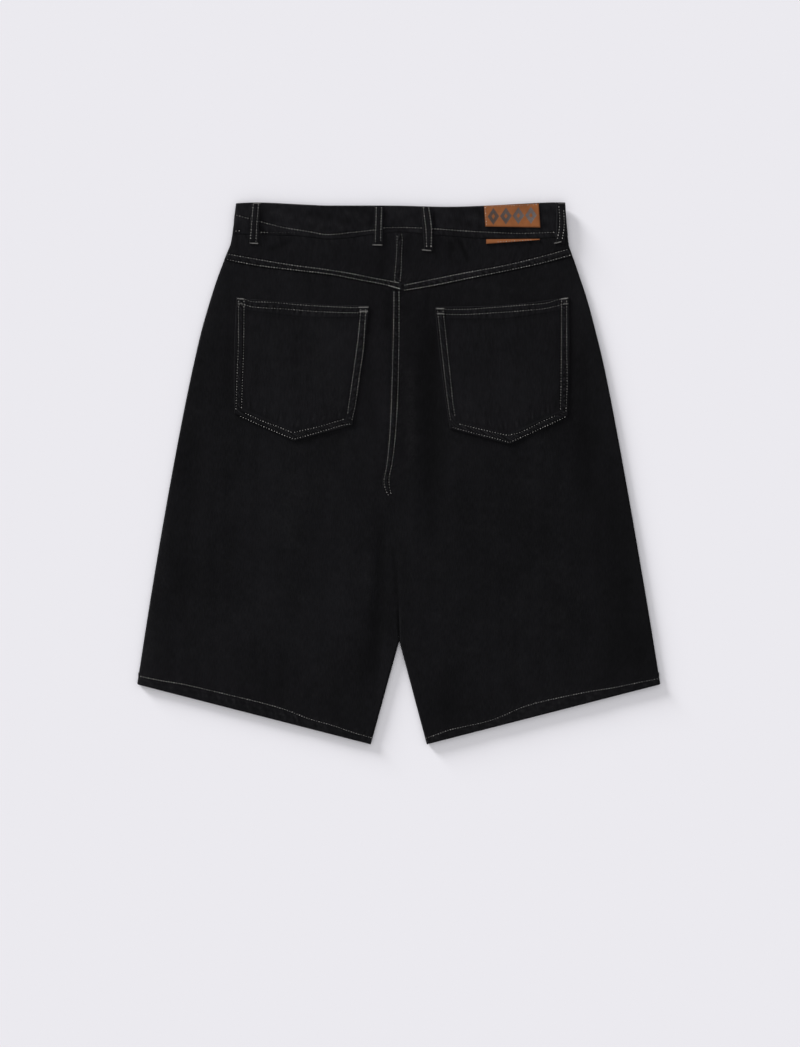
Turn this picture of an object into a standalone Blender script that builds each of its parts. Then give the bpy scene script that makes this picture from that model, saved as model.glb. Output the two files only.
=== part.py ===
"""Loose denim bermuda shorts laid flat with the back up, the waist towards +Y.

The garment is cut as front and back panels, two back yokes, two back pockets, a waistband with
belt loops, a fly shield, a shank button and a leather patch. Every piece is a thin wall of cloth.
Lengths are in millimetres up to the last step, which writes metres. +Z is up, the underside rests
on z = 0, and the origin is at the middle of the garment's outline.
"""

import math
from collections import namedtuple

import bmesh
import bpy
from mathutils import Vector

MM = 0.001

# Cloth and seams
CLOTH = 1.3  # one layer of heavy denim
BAND_CLOTH = 1.8  # the waistband's two layers
SEAM_GAP = 0.3  # between pieces that are sewn together
BACK_TOP = 5.4  # outer face of the back over the floor, where no fold lifts it
HEM_TURNING = 12.0  # height of the turned hem
HEM_EXTRA = 0.8  # the turning's second layer, inside
HEM_LIFT = 0.3  # how far the hem stands proud
FOLD_FADE = 0.25  # share of a fold's length over which each end dies away
RIM = 0.65  # height of a sewn-on piece's rim, as a share of its cloth

# Waistband
BAND_UNDER = 1.7  # front of the band over the floor, on its loops and button
BAND_TOP = 7.4  # back of the band over the floor
BAND_SWELL = 0.7  # more over the lapped ends at the centre front
SWELL_REACH = 70.0
BAND_HALF = 200.0  # half the laid waist
FLAT_SHARE = 0.985  # of that half, up to where the band turns round the side
FRONT_DIP = 12.0  # the front of the waist is cut lower than the back
FRONT_EDGE = 285.0  # lower edge of the band in front, before the dip
FRONT_BAND = 38.0  # height of the band in front
LAP_END = 20.0  # each end of the band past the centre front
LAP_RAMP = 16.0  # length over which the lower end rises on to the upper one
RISE_LENGTH = 55.0  # the back rises to the band over this length
FRONT_RISE_LENGTH = 26.0
BAND_STEP = 0.25  # the band's lower edge stands this proud of the cloth below it
BAND_LEVELS = (0.0, 0.35, 0.68, 0.97, 1.0)  # shares of the band's height
CROWN_SQUEEZE = 0.28  # how far the fold along the band's top narrows

# Belt loops, patch, fly and button
LOOP_WIDTH = 10.4
LOOP_CLOTH = 1.4
LOOP_COLUMNS = (-0.5, -0.42, -0.2, 0.0, 0.2, 0.42, 0.5)  # shares of its width
LOOP_STEPS = 12
LOOP_FOLD = 0.4  # the loop's end lies this far below the band's top edge
LOOP_SLACK = 0.8  # how far a loop arches off the band
PATCH_THICK = 1.2
FLY_START = -4.0
FLY_WIDTH = 38.0
FLY_LENGTH = 120.0
FLY_CLOTH = 1.0
FLY_TAPER = 0.12  # the outer side is this share shorter, on a curve
BUTTON_RADIUS = 8.5
BUTTON_HEAD = 1.4
SHANK_RADIUS = 2.2
BUTTONHOLE = (17.0, 5.4)

# Where the legs part
CROTCH_Y = -29.0
NOTCH_Y = -201.0
ROUNDED_Y = -125.0  # below this the inner edges of the legs are fully rounded
HEM_INNER = (33.6, -325.2)
HEM_OUTER = (314.1, -253.1)

# Fineness of the walls
ARC_STEPS = 4
PANEL_COLUMNS = 17
FRONT_COLUMNS = 14
YOKE_ROWS = 5

Side = namedtuple("Side", "y left right")
SIDES = (
    Side(325.2, -195.3, 199.9),
    Side(313.8, -196.6, 200.6),
    Side(285.0, -200.1, 202.9),
    Side(275.4, -201.9, 203.8),
    Side(265.8, -205.9, 206.9),
    Side(256.2, -209.6, 210.4),
    Side(232.2, -218.6, 218.6),
    Side(208.2, -226.3, 226.4),
    Side(172.2, -236.7, 236.1),
    Side(136.2, -245.2, 244.9),
    Side(88.2, -255.4, 254.8),
    Side(16.2, -269.3, 268.3),
    Side(-79.8, -286.4, 285.3),
    Side(-175.8, -302.2, 301.6),
    Side(-253.1, -314.1, 314.1),
)

Seam = namedtuple("Seam", "y x")
BACK_SEAM = (
    Seam(292.0, -3.9),
    Seam(268.0, -4.4),
    Seam(240.0, -6.5),
    Seam(219.0, -7.6),
    Seam(181.0, -8.1),
    Seam(132.0, -9.4),
    Seam(76.0, -11.1),
    Seam(40.0, -13.1),
    Seam(9.0, -16.4),
    Seam(-10.0, -19.9),
    Seam(-19.0, -18.1),
    Seam(CROTCH_Y, -13.2),
    Seam(-56.0, -6.9),
    Seam(-92.0, -3.3),
    Seam(-152.0, -0.4),
    Seam(NOTCH_Y, 0.6),
)
FRONT_SEAM = (
    Seam(280.0, 0.0),
    Seam(60.0, 0.0),
    Seam(5.0, -5.0),
    Seam(CROTCH_Y, -13.2),
    Seam(-56.0, -6.9),
    Seam(-92.0, -3.3),
    Seam(-152.0, -0.4),
    Seam(NOTCH_Y, 0.6),
)

Edge = namedtuple("Edge", "x y")
YOKE_EDGE = (
    Edge(-209.0, 255.9),
    Edge(-166.5, 247.9),
    Edge(-124.5, 242.8),
    Edge(-82.5, 237.8),
    Edge(-46.5, 231.1),
    Edge(-16.5, 224.9),
    Edge(-2.5, 219.6),
    Edge(36.9, 223.6),
    Edge(85.5, 233.3),
    Edge(127.5, 241.7),
    Edge(169.5, 250.7),
    Edge(208.5, 260.4),
)
BAND_EDGE = (
    Edge(-200.5, 287.4),
    Edge(-164.0, 286.2),
    Edge(-123.0, 285.0),
    Edge(-82.5, 280.8),
    Edge(-58.5, 282.6),
    Edge(-16.5, 288.6),
    Edge(2.7, 289.2),
    Edge(49.5, 285.6),
    Edge(97.5, 282.0),
    Edge(145.5, 281.4),
    Edge(203.0, 283.8),
)
WAIST_EDGE = (
    Edge(-195.3, 324.2),
    Edge(-171.3, 325.1),
    Edge(-113.7, 322.6),
    Edge(-84.0, 321.4),
    Edge(-12.0, 321.3),
    Edge(59.0, 319.9),
    Edge(102.0, 321.1),
    Edge(145.5, 323.5),
    Edge(188.0, 325.2),
    Edge(199.9, 325.1),
)

# Soft troughs (depth below 0) and ridges of the back, each along a line.
Fold = namedtuple("Fold", "x_top y_top x_low y_low width depth")
FOLDS = (
    Fold(41.0, 215.0, 40.0, -95.0, 15.0, -1.5),
    Fold(66.0, 30.0, 78.0, -150.0, 20.0, 0.6),
    Fold(-14.0, -36.0, -34.0, -285.0, 11.0, -1.2),
    Fold(-48.0, -20.0, -66.0, -270.0, 17.0, 0.8),
    Fold(-245.0, 90.0, -262.0, -200.0, 17.0, -0.9),
    Fold(-214.0, 60.0, -232.0, -230.0, 17.0, 0.6),
    Fold(220.0, 175.0, 231.0, -60.0, 14.0, -0.9),
    Fold(190.0, 40.0, 214.0, -220.0, 20.0, 0.6),
    Fold(-201.0, 185.0, -203.0, 70.0, 9.0, -0.6),
    Fold(-18.0, 215.0, -20.0, 40.0, 12.0, 0.5),
    Fold(62.0, -225.0, 68.0, -300.0, 20.0, -0.7),
)

# Rows of the back panels, by the height of their inner end.
Run = namedtuple("Run", "y_from y_to steps")
BACK_RUNS = (
    Run(219.0, 40.0, 8),
    Run(40.0, CROTCH_Y, 8),
    Run(CROTCH_Y, NOTCH_Y, 8),
    Run(NOTCH_Y, HEM_INNER[1] + HEM_TURNING + 2.0, 4),
    Run(HEM_INNER[1] + HEM_TURNING + 2.0, HEM_INNER[1] + HEM_TURNING, 1),
    Run(HEM_INNER[1] + HEM_TURNING, HEM_INNER[1], 1),
)
FRONT_RUNS = (
    Run(273.0, 243.0, 3),
    Run(243.0, 60.0, 3),
    Run(60.0, CROTCH_Y, 4),
    Run(CROTCH_Y, NOTCH_Y, 6),
    Run(NOTCH_Y, HEM_INNER[1], 3),
)

# Back pockets: the top edge, then the two lower corners and the point between them.
POCKET_TOPS = {
    "left": (
        Edge(-194.7, 211.8),
        Edge(-178.5, 209.4),
        Edge(-118.5, 204.6),
        Edge(-82.5, 202.2),
        Edge(-35.7, 201.4),
    ),
    "right": (
        Edge(203.7, 211.8),
        Edge(192.3, 210.0),
        Edge(145.5, 203.8),
        Edge(109.5, 201.0),
        Edge(43.5, 199.8),
    ),
}
POCKET_FEET = {
    "left": (Edge(-197.3, 72.0), Edge(-125.8, 38.6), Edge(-55.4, 57.6)),
    "right": (Edge(202.6, 69.0), Edge(132.5, 34.7), Edge(61.5, 53.6)),
}
POCKET_BOW = 1.6  # how far the sides of a pocket swell out at mid-height
POCKET_ROWS = 8
POCKET_COLUMNS = 10

# Belt loops: where each crosses the band, and how far it leans and runs on below the band.
Loop = namedtuple("Loop", "name x_top x_low below")
BACK_LOOPS = (
    Loop("belt_loop_side_left", -171.2, -174.0, 7.5),
    Loop("belt_loop_centre_left", -23.7, -24.8, 12.5),
    Loop("belt_loop_centre_right", 32.4, 36.0, 17.0),
    Loop("belt_loop_side_right", 194.5, 193.4, 8.0),
)
FRONT_LOOPS = (
    Loop("belt_loop_front_left", -96.0, -96.0, 8.0),
    Loop("belt_loop_front_right", 96.0, 96.0, 8.0),
)

# The leather patch: its outer, then its inner side, each from top to foot.
PATCH = (Edge(102.1, 321.0), Edge(167.7, 323.6), Edge(103.9, 295.9), Edge(169.7, 294.8))
PATCH_TAIL = (Edge(104.8, 281.0), Edge(169.0, 281.2), Edge(104.8, 274.8), Edge(169.2, 279.0))

DENIM = (0.0085, 0.0082, 0.0095)
FINISHES = {
    "denim": (DENIM, 0.92, 0.0),
    "pocket_denim": ((0.0092, 0.0088, 0.0102), 0.92, 0.0),
    "band_denim": ((0.0088, 0.0084, 0.0098), 0.9, 0.0),
    "loop_denim": ((0.0098, 0.0094, 0.0106), 0.9, 0.0),
    "leather": ((0.21, 0.088, 0.042), 0.62, 0.0),
    "button_metal": ((0.2, 0.17, 0.13), 0.38, 1.0),
}


def between(a, b, t):
    return a + (b - a) * t


def ease(t):
    t = min(max(t, 0.0), 1.0)
    return t * t * (3.0 - 2.0 * t)


def smooth_curve(rows, key, value):
    """A function that reads one column of a table against another, smooth between the rows."""
    points = sorted((getattr(r, key), getattr(r, value)) for r in rows)
    at = [p[0] for p in points]
    to = [p[1] for p in points]
    steps = [(to[i + 1] - to[i]) / (at[i + 1] - at[i]) for i in range(len(at) - 1)]
    slopes = [steps[0]]
    for before, after in zip(steps, steps[1:]):
        slopes.append(0.0 if before * after <= 0 else 2 * before * after / (before + after))
    slopes.append(steps[-1])

    def read(x):
        if x <= at[0]:
            return to[0] + slopes[0] * (x - at[0])
        if x >= at[-1]:
            return to[-1] + slopes[-1] * (x - at[-1])
        i = max(k for k in range(len(at) - 1) if at[k] <= x)
        span = at[i + 1] - at[i]
        t = (x - at[i]) / span
        start = (2 * t**3 - 3 * t**2 + 1) * to[i] + (t**3 - 2 * t**2 + t) * span * slopes[i]
        end = (3 * t**2 - 2 * t**3) * to[i + 1] + (t**3 - t**2) * span * slopes[i + 1]
        return start + end

    return read


side_left = smooth_curve(SIDES, "y", "left")
side_right = smooth_curve(SIDES, "y", "right")
back_seam = smooth_curve(BACK_SEAM, "y", "x")
front_seam = smooth_curve(FRONT_SEAM, "y", "x")
yoke_edge = smooth_curve(YOKE_EDGE, "x", "y")
band_edge = smooth_curve(BAND_EDGE, "x", "y")
waist_edge = smooth_curve(WAIST_EDGE, "x", "y")


def side_edge(side, y):
    return side_left(y) if side < 0 else side_right(y)


def front_dip(x):
    return FRONT_DIP * max(0.0, 1.0 - (x / side_right(285.0)) ** 2)


def front_band_edge(x):
    level = between(FRONT_EDGE, band_edge(x), min((x / BAND_HALF) ** 2, 1.0))
    return level - front_dip(x)


def hem_height(x):
    t = (abs(x) - HEM_INNER[0]) / (HEM_OUTER[0] - HEM_INNER[0])
    return between(HEM_INNER[1], HEM_OUTER[1], t)


def fold_height(fold, x, y):
    """How far one fold moves the cloth up or down at a point."""
    run = Vector((fold.x_low - fold.x_top, fold.y_low - fold.y_top))
    from_top = Vector((x - fold.x_top, y - fold.y_top))
    along = from_top.dot(run) / run.length_squared
    aside = (from_top - run * along).length
    fade = ease(along / FOLD_FADE) * ease((1.0 - along) / FOLD_FADE)
    return fold.depth * fade * math.exp(-((aside / fold.width) ** 2))


def band_height(x):
    return BAND_TOP + BAND_SWELL * math.exp(-((x / SWELL_REACH) ** 2))


def back_height(x, y):
    """The outer face of the back panels and yokes, over the floor."""
    top = band_height(x) - BAND_STEP
    height = between(BACK_TOP, top, ease(1.0 - (band_edge(x) - y) / RISE_LENGTH))
    height += sum(fold_height(fold, x, y) for fold in FOLDS)
    return height + HEM_LIFT * (y < hem_height(x) + HEM_TURNING + 1.0)


def front_height(x, y):
    """The outer face of the front panels, which is the underside of the shorts."""
    rise = BAND_UNDER + BAND_STEP
    return rise * ease(1.0 - (front_band_edge(x) - y) / FRONT_RISE_LENGTH)


def cloth_at(x, y):
    """The wall's thickness: one layer, and two in the hem's turning."""
    return CLOTH + HEM_EXTRA * (y < hem_height(x) + HEM_TURNING + 1.0)


def add_object(name, mesh_data, finish):
    mesh = bpy.data.meshes.new(name)
    mesh_data.to_mesh(mesh)
    mesh_data.free()
    mesh.shade_smooth()
    mesh.set_sharp_from_angle(angle=math.radians(40))
    colour, roughness, metallic = FINISHES[finish]
    material = bpy.data.materials.get(finish) or bpy.data.materials.new(finish)
    material.use_nodes = True
    shader = material.node_tree.nodes["Principled BSDF"]
    shader.inputs["Base Color"].default_value = (*colour, 1.0)
    shader.inputs["Roughness"].default_value = roughness
    shader.inputs["Metallic"].default_value = metallic
    mesh.materials.append(material)
    piece = bpy.data.objects.new(name, mesh)
    bpy.context.collection.objects.link(piece)
    return piece


def loft(name, rings, finish):
    """A closed wall through rings of points. Each ring runs along one face and back along the other."""
    shape = bmesh.new()
    rows = [[shape.verts.new(Vector(p) * MM) for p in ring] for ring in rings]
    count = len(rows[0])
    for low, high in zip(rows, rows[1:]):
        for k in range(count):
            after = (k + 1) % count
            shape.faces.new((low[k], low[after], high[after], high[k]))
    for row in (rows[0], rows[-1]):
        for k in range(count // 2 - 1):
            shape.faces.new((row[k], row[k + 1], row[count - 2 - k], row[count - 1 - k]))
    bmesh.ops.recalc_face_normals(shape, faces=shape.faces)
    return add_object(name, shape, finish)


def rounded_edge(radius, curl):
    """Points of a rounded edge as (inset, drop, lean), from the edge inwards; curl 0 is flat, 1 upright."""
    turn = max(curl, 0.02) * math.pi / 2
    bend = radius * math.pi / 2 / turn
    for step in range(ARC_STEPS + 1):
        lean = turn * (1.0 - step / ARC_STEPS)
        yield bend * (math.sin(turn) - math.sin(lean)), bend * (1.0 - math.cos(lean)), lean


def panel_ring(inner, outer, bow, curls, face, columns):
    """One ring round the wall of a panel, from its inner edge to its outer edge and back.

    face is 1 for the back, whose outer side is up, and -1 for the front.
    """
    reach = 1.0 if outer.x > inner.x else -1.0
    width = abs(outer.x - inner.x)
    height = back_height if face > 0 else front_height
    radii = []
    for end in (inner, outer):
        depth = back_height(end.x, end.y) - front_height(end.x, end.y)
        radii.append((depth - SEAM_GAP) / 2)
    first = list(rounded_edge(radii[0], curls[0]))
    last = list(rounded_edge(radii[1], curls[1]))
    start, stop = first[-1][0], width - last[-1][0]
    stations = [(inset, drop, -lean) for inset, drop, lean in first]
    stations += [(between(start, stop, k / columns), 0.0, 0.0) for k in range(1, columns)]
    stations += [(width - inset, drop, lean) for inset, drop, lean in reversed(last)]
    shown, hidden = [], []
    for inset, drop, lean in stations:
        x = inner.x + reach * inset
        y = between(inner.y, outer.y, inset / width) + bow(x, inset / width)
        z = height(x, y) - face * drop
        wall = cloth_at(x, y)
        shown.append((x, y, z))
        hidden.append((x - wall * reach * math.sin(lean), y, z - wall * face * math.cos(lean)))
    return shown + hidden[::-1]


def run_heights(runs):
    """Every height that a table of runs steps through, as shares of the way down."""
    heights = [runs[0].y_from]
    for run in runs:
        heights += [between(run.y_from, run.y_to, k / run.steps) for k in range(1, run.steps + 1)]
    return [(heights[0] - y) / (heights[0] - heights[-1]) for y in heights]


def inner_edge(seam, side, y):
    """The panel's edge at the centre seam, and below the notch the leg's inner edge."""
    if y >= NOTCH_Y:
        return seam(y) + side * SEAM_GAP / 2
    share = (NOTCH_Y - y) / (NOTCH_Y - HEM_INNER[1])
    return between(seam(NOTCH_Y) + side * SEAM_GAP / 2, side * HEM_INNER[0], share)


def leg_curl(y):
    return ease((CROTCH_Y - y) / (CROTCH_Y - ROUNDED_Y))


def outer_end(side, edge):
    """Where a seam that runs across the garment meets its side edge."""
    x = side_edge(side, edge(0.0))
    for _ in range(6):
        x = side_edge(side, edge(x))
    return x


def panel(name, side, seam, top_edge, gap, runs, face, columns):
    """A leg's front or back, from its top edge down to the hem."""
    top_inner = top_edge(seam(runs[0].y_from)) - gap
    outer_x = outer_end(side, top_edge)
    top_outer = top_edge(outer_x) - gap
    rings = []
    for share in run_heights(runs):
        y_in = between(top_inner, HEM_INNER[1], share)
        y_out = between(top_outer, HEM_OUTER[1], share)
        inner = Edge(inner_edge(seam, side, y_in), y_in)
        outer = Edge(side_edge(side, y_out), y_out)

        def bow(x, across, share=share):
            chord = between(top_inner, top_outer, across)
            along = between(inner_edge(seam, side, top_inner), outer_x, across)
            return (top_edge(along) - gap - chord) * (1.0 - share) ** 2

        rings.append(panel_ring(inner, outer, bow, (leg_curl(y_in), 1.0), face, columns))
    return loft(name, rings, "denim")


def yoke(name, side):
    """The shaped piece between the waistband and a back panel."""
    edges = []
    for edge, gap in ((band_edge, -SEAM_GAP), (yoke_edge, SEAM_GAP / 2)):
        edges.append((edge, gap, outer_end(side, edge)))
    rings = []
    for row in range(YOKE_ROWS + 1):
        share = row / YOKE_ROWS

        def level(across, share=share):
            heights = []
            for edge, gap, outer_x in edges:
                along = between(back_seam(edge(0.0)), outer_x, across)
                heights.append(edge(along) + gap)
            return between(heights[0], heights[1], share)

        y_in, y_out = level(0.0), level(1.0)
        inner = Edge(inner_edge(back_seam, side, y_in), y_in)
        outer = Edge(side_edge(side, y_out), y_out)

        def bow(x, across, y_in=y_in, y_out=y_out, level=level):
            return level(across) - between(y_in, y_out, across)

        rings.append(panel_ring(inner, outer, bow, (0.0, 1.0), 1, PANEL_COLUMNS))
    return loft(name, rings, "denim")


def applied_piece(name, spots, support, thick, finish, inset_share=0.04):
    """A piece that lies on a panel: a grid of (x, y) spots, set just off it, with a softened rim."""
    rings = []
    for row in spots:
        shown, hidden = [], []
        near = [between_spots(row[0], row[1], inset_share * len(row))]
        far = [between_spots(row[-1], row[-2], inset_share * len(row))]
        across = [row[0]] + near + list(row[1:-1]) + far + [row[-1]]
        for k, (x, y) in enumerate(across):
            base = support(x, y) + SEAM_GAP
            rim = RIM if k in (0, len(across) - 1) else 1.0
            shown.append((x, y, base + thick * rim))
            hidden.append((x, y, base))
        rings.append(shown + hidden[::-1])
    return loft(name, rings, finish)


def between_spots(a, b, t):
    return (between(a[0], b[0], t), between(a[1], b[1], t))


def pocket(name, key):
    """A back pocket: a five-sided patch with swelling sides and a point at its foot."""
    top = POCKET_TOPS[key]
    edge = smooth_curve(top, "x", "y")
    corner_out, point, corner_in = POCKET_FEET[key]
    spots = []
    for row in range(POCKET_ROWS + 1):
        down = row / POCKET_ROWS
        line = []
        for column in range(POCKET_COLUMNS + 1):
            across = column / POCKET_COLUMNS
            x_top = between(top[0].x, top[-1].x, across)
            half = POCKET_COLUMNS / 2
            if column <= half:
                foot = between_spots(corner_out, point, column / half)
            else:
                foot = between_spots(point, corner_in, column / half - 1.0)
            swell = POCKET_BOW * 4 * down * (1 - down) * (1 - 2 * across)
            swell *= -1 if key == "left" else 1
            line.append((between(x_top, foot[0], down) + swell, between(edge(x_top), foot[1], down)))
        spots.append(line)
    return applied_piece(name, spots, back_height, CLOTH, "pocket_denim")


def band_path():
    """Stations along the outer face of the waistband: (x share of the half-width, height, front share)."""
    lap = LAP_END / BAND_HALF
    ramp = (LAP_END + LAP_RAMP) / BAND_HALF
    middle = (BAND_TOP + BAND_UNDER) / 2
    radius = (BAND_TOP - BAND_UNDER) / 2
    stations = [(between(lap, -FLAT_SHARE, k / 12), BAND_UNDER, 1.0) for k in range(13)]
    for side in (-1, 1):
        bend = []
        for step in range(1, 8):
            angle = math.pi * step / 8
            share = side * between(FLAT_SHARE, 1.0, math.sin(angle))
            height = middle - radius * math.cos(angle)
            bend.append((share, height, 1.0 - step / 8))
        if side < 0:
            stations += bend
            stations += [(between(-FLAT_SHARE, FLAT_SHARE, k / 28), None, 0.0) for k in range(29)]
        else:
            stations += bend[::-1]
    stations += [(between(FLAT_SHARE, ramp, k / 8), BAND_UNDER, 1.0) for k in range(9)]
    upper = BAND_UNDER + BAND_CLOTH + SEAM_GAP
    for step in range(1, 5):
        share = between(ramp, lap, step / 4)
        stations.append((share, between(BAND_UNDER, upper, ease(step / 4)), 1.0))
    stations += [(between(lap, -lap, k / 3), upper, 1.0) for k in range(1, 4)]
    return stations


def band_points(stations, y_share):
    """The outer and inner face at one level of the band, as two lists of points."""
    outer = []
    for share, height, front in stations:
        x = share * BAND_HALF
        for _ in range(3):
            back_y = between(band_edge(x), waist_edge(x), y_share)
            front_y = front_band_edge(x) + y_share * FRONT_BAND
            level = between(back_y, front_y, ease(front))
            x = abs(share) * side_edge(share, level)
        outer.append(Vector((x, level, band_height(x) if height is None else height)))
    inner = []
    for k, point in enumerate(outer):
        before, after = outer[max(k - 1, 0)], outer[min(k + 1, len(outer) - 1)]
        run = Vector((after.x - before.x, after.z - before.z)).normalized()
        inner.append(point + Vector((run.y, 0.0, -run.x)) * BAND_CLOTH)
    return outer, inner


def waistband():
    """The band: one folded strip round the waist, its left end lapped over its right in front."""
    stations = band_path()
    levels = [band_points(stations, share) for share in BAND_LEVELS]
    rings = []
    for k in range(len(stations)):
        shown, hidden = [], []
        for level, (outer, inner) in enumerate(levels):
            squeeze = CROWN_SQUEEZE if level == len(levels) - 1 else 0.0
            shown.append(between(outer[k], inner[k], squeeze))
            hidden.append(between(inner[k], outer[k], squeeze))
        rings.append(shown + hidden[::-1])
    band = loft("waistband", rings, "band_denim")
    cut = bmesh.new()
    bmesh.ops.create_cube(cut, size=1.0)
    depth = BAND_CLOTH + SEAM_GAP + 1.0
    high = BAND_UNDER + BAND_CLOTH + SEAM_GAP / 2
    bmesh.ops.scale(cut, vec=(BUTTONHOLE[0] * MM, BUTTONHOLE[1] * MM, depth * MM), verts=cut.verts)
    place = Vector((0.0, button_y(), high - depth / 2)) * MM
    bmesh.ops.translate(cut, vec=place, verts=cut.verts)
    cutter = add_object("buttonhole_cutter", cut, "band_denim")
    cutter.hide_render = True
    cutter.display_type = "WIRE"
    hole = band.modifiers.new("buttonhole", "BOOLEAN")
    hole.operation = "DIFFERENCE"
    hole.solver = "EXACT"
    hole.object = cutter
    return band


def button_y():
    return front_band_edge(0.0) + FRONT_BAND / 2


def belt_loop(loop, face):
    """A strip over the band, sewn down at the band's top edge and below its lower edge."""
    rings = []
    edge = band_edge if face > 0 else front_band_edge
    foot = edge(loop.x_low) - loop.below
    crown = waist_edge(loop.x_top) if face > 0 else edge(loop.x_top) + FRONT_BAND
    crown -= LOOP_FOLD
    for step in range(LOOP_STEPS + 1):
        share = step / LOOP_STEPS
        y = between(foot, crown, share)
        x = between(loop.x_low, loop.x_top, share)
        arch = LOOP_SLACK * math.sin(math.pi * share) ** 2
        ring = []
        for aside in LOOP_COLUMNS:
            px = x + aside * LOOP_WIDTH
            rim = RIM if abs(aside) == LOOP_COLUMNS[-1] else 1.0
            if face > 0:
                z = loop_seat(px, y) + SEAM_GAP + arch + LOOP_CLOTH * rim
            else:
                z = LOOP_CLOTH * (1.0 - rim)
            ring.append((px, y, z))
        for aside in LOOP_COLUMNS[::-1]:
            px = x + aside * LOOP_WIDTH
            z = loop_seat(px, y) + SEAM_GAP + arch if face > 0 else LOOP_CLOTH
            ring.append((px, y, z))
        rings.append(ring)
    return loft(loop.name, rings, "loop_denim")


def loop_seat(x, y):
    """What a back loop lies on: the band, and below it the yoke, with the band's rounded side end."""
    seat = band_height(x) if y > band_edge(x) - 2.0 else back_height(x, y)
    radius = (BAND_TOP - BAND_UNDER) / 2
    reach = abs(side_edge(x, y))
    over = abs(x) - reach * FLAT_SHARE
    if over > 0:
        share = min(over / (reach * (1.0 - FLAT_SHARE)), 0.96)
        seat -= radius * (1.0 - math.sqrt(1.0 - share * share))
    return seat


def quad_spots(corners, columns, rows):
    top_a, top_b, foot_a, foot_b = corners
    spots = []
    for row in range(rows + 1):
        a = between_spots(top_a, foot_a, row / rows)
        b = between_spots(top_b, foot_b, row / rows)
        spots.append([between_spots(a, b, column / columns) for column in range(columns + 1)])
    return spots


def patch():
    """The leather patch on the band, and its foot that comes out below the band."""
    def on_band(x, y):
        return band_height(x)

    applied_piece("label_patch", quad_spots(PATCH, 8, 4), on_band, PATCH_THICK, "leather", 0.02)
    tail = quad_spots(PATCH_TAIL, 8, 2)
    applied_piece("label_patch_tail", tail, back_height, PATCH_THICK, "leather", 0.02)


def fly_shield():
    """The strip behind the closed front opening, from the band down."""
    spots = []
    for row in range(7):
        line = []
        for column in range(5):
            across = column / 4
            x = FLY_START + FLY_WIDTH * across
            top = front_band_edge(x) - 1.0
            length = FLY_LENGTH * (1.0 - FLY_TAPER * across**3)
            y = top - length * row / 6
            line.append((x, y))
        spots.append(line)

    def inside(x, y):
        return front_height(x, y) + CLOTH

    return applied_piece("fly_shield", spots, inside, FLY_CLOTH, "denim")


def button():
    """The shank button of the waist, its head outside the band and its shank in the buttonhole."""
    shape = bmesh.new()
    shank_end = BAND_UNDER + BAND_CLOTH
    profile = [
        (0.0, 0.0),
        (BUTTON_RADIUS * 0.78, 0.0),
        (BUTTON_RADIUS, 0.45),
        (BUTTON_RADIUS, 0.95),
        (BUTTON_RADIUS * 0.86, BUTTON_HEAD),
        (SHANK_RADIUS, BUTTON_HEAD),
        (SHANK_RADIUS, shank_end),
        (0.0, shank_end),
    ]
    line = [shape.verts.new(Vector((x, 0.0, z)) * MM) for x, z in profile]
    edges = [shape.edges.new(pair) for pair in zip(line, line[1:])]
    bmesh.ops.spin(
        shape, geom=line + edges, cent=(0, 0, 0), axis=(0, 0, 1), angle=math.tau, steps=28,
        use_merge=True,
    )
    bmesh.ops.remove_doubles(shape, verts=shape.verts, dist=1e-6)
    bmesh.ops.recalc_face_normals(shape, faces=shape.faces)
    bmesh.ops.translate(shape, vec=Vector((0.0, button_y(), 0.0)) * MM, verts=shape.verts)
    return add_object("waist_button", shape, "button_metal")


def build():
    for thing in list(bpy.data.objects):
        bpy.data.objects.remove(thing, do_unlink=True)
    for side, key in ((-1, "left"), (1, "right")):
        back = (back_seam, yoke_edge, SEAM_GAP / 2, BACK_RUNS, 1, PANEL_COLUMNS)
        front = (front_seam, front_band_edge, SEAM_GAP, FRONT_RUNS, -1, FRONT_COLUMNS)
        panel(f"back_panel_{key}", side, *back)
        panel(f"front_panel_{key}", side, *front)
        yoke(f"back_yoke_{key}", side)
        pocket(f"back_pocket_{key}", key)
    waistband()
    for loop in BACK_LOOPS:
        belt_loop(loop, 1)
    for loop in FRONT_LOOPS:
        belt_loop(loop, -1)
    patch()
    fly_shield()
    button()


build()
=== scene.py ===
"""Black denim bermuda shorts, laid flat with the back up and the waist towards +Y.

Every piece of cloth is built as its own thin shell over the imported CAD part, then sewn with real
stitches. Tables and heights are in millimetres; meshes are written in metres.
"""

import math
from collections import namedtuple
from functools import partial
from itertools import islice

import bmesh
import bpy
import numpy as np
from bpy.props import FloatProperty, FloatVectorProperty, PointerProperty
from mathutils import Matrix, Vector


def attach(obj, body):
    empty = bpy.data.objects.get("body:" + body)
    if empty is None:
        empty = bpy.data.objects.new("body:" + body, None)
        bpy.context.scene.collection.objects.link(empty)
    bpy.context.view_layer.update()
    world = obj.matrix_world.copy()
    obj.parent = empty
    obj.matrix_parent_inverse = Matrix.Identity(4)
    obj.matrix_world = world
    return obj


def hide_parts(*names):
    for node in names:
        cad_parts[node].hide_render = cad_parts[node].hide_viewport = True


bl_info = {
    "name": "Laid bermuda shorts",
    "version": (1, 0, 0),
    "blender": (4, 5, 0),
    "location": "3D View > Sidebar > Shorts",
    "description": "Builds black denim bermuda shorts, laid flat, with their seams and stitching",
    "category": "Object",
}

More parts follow.
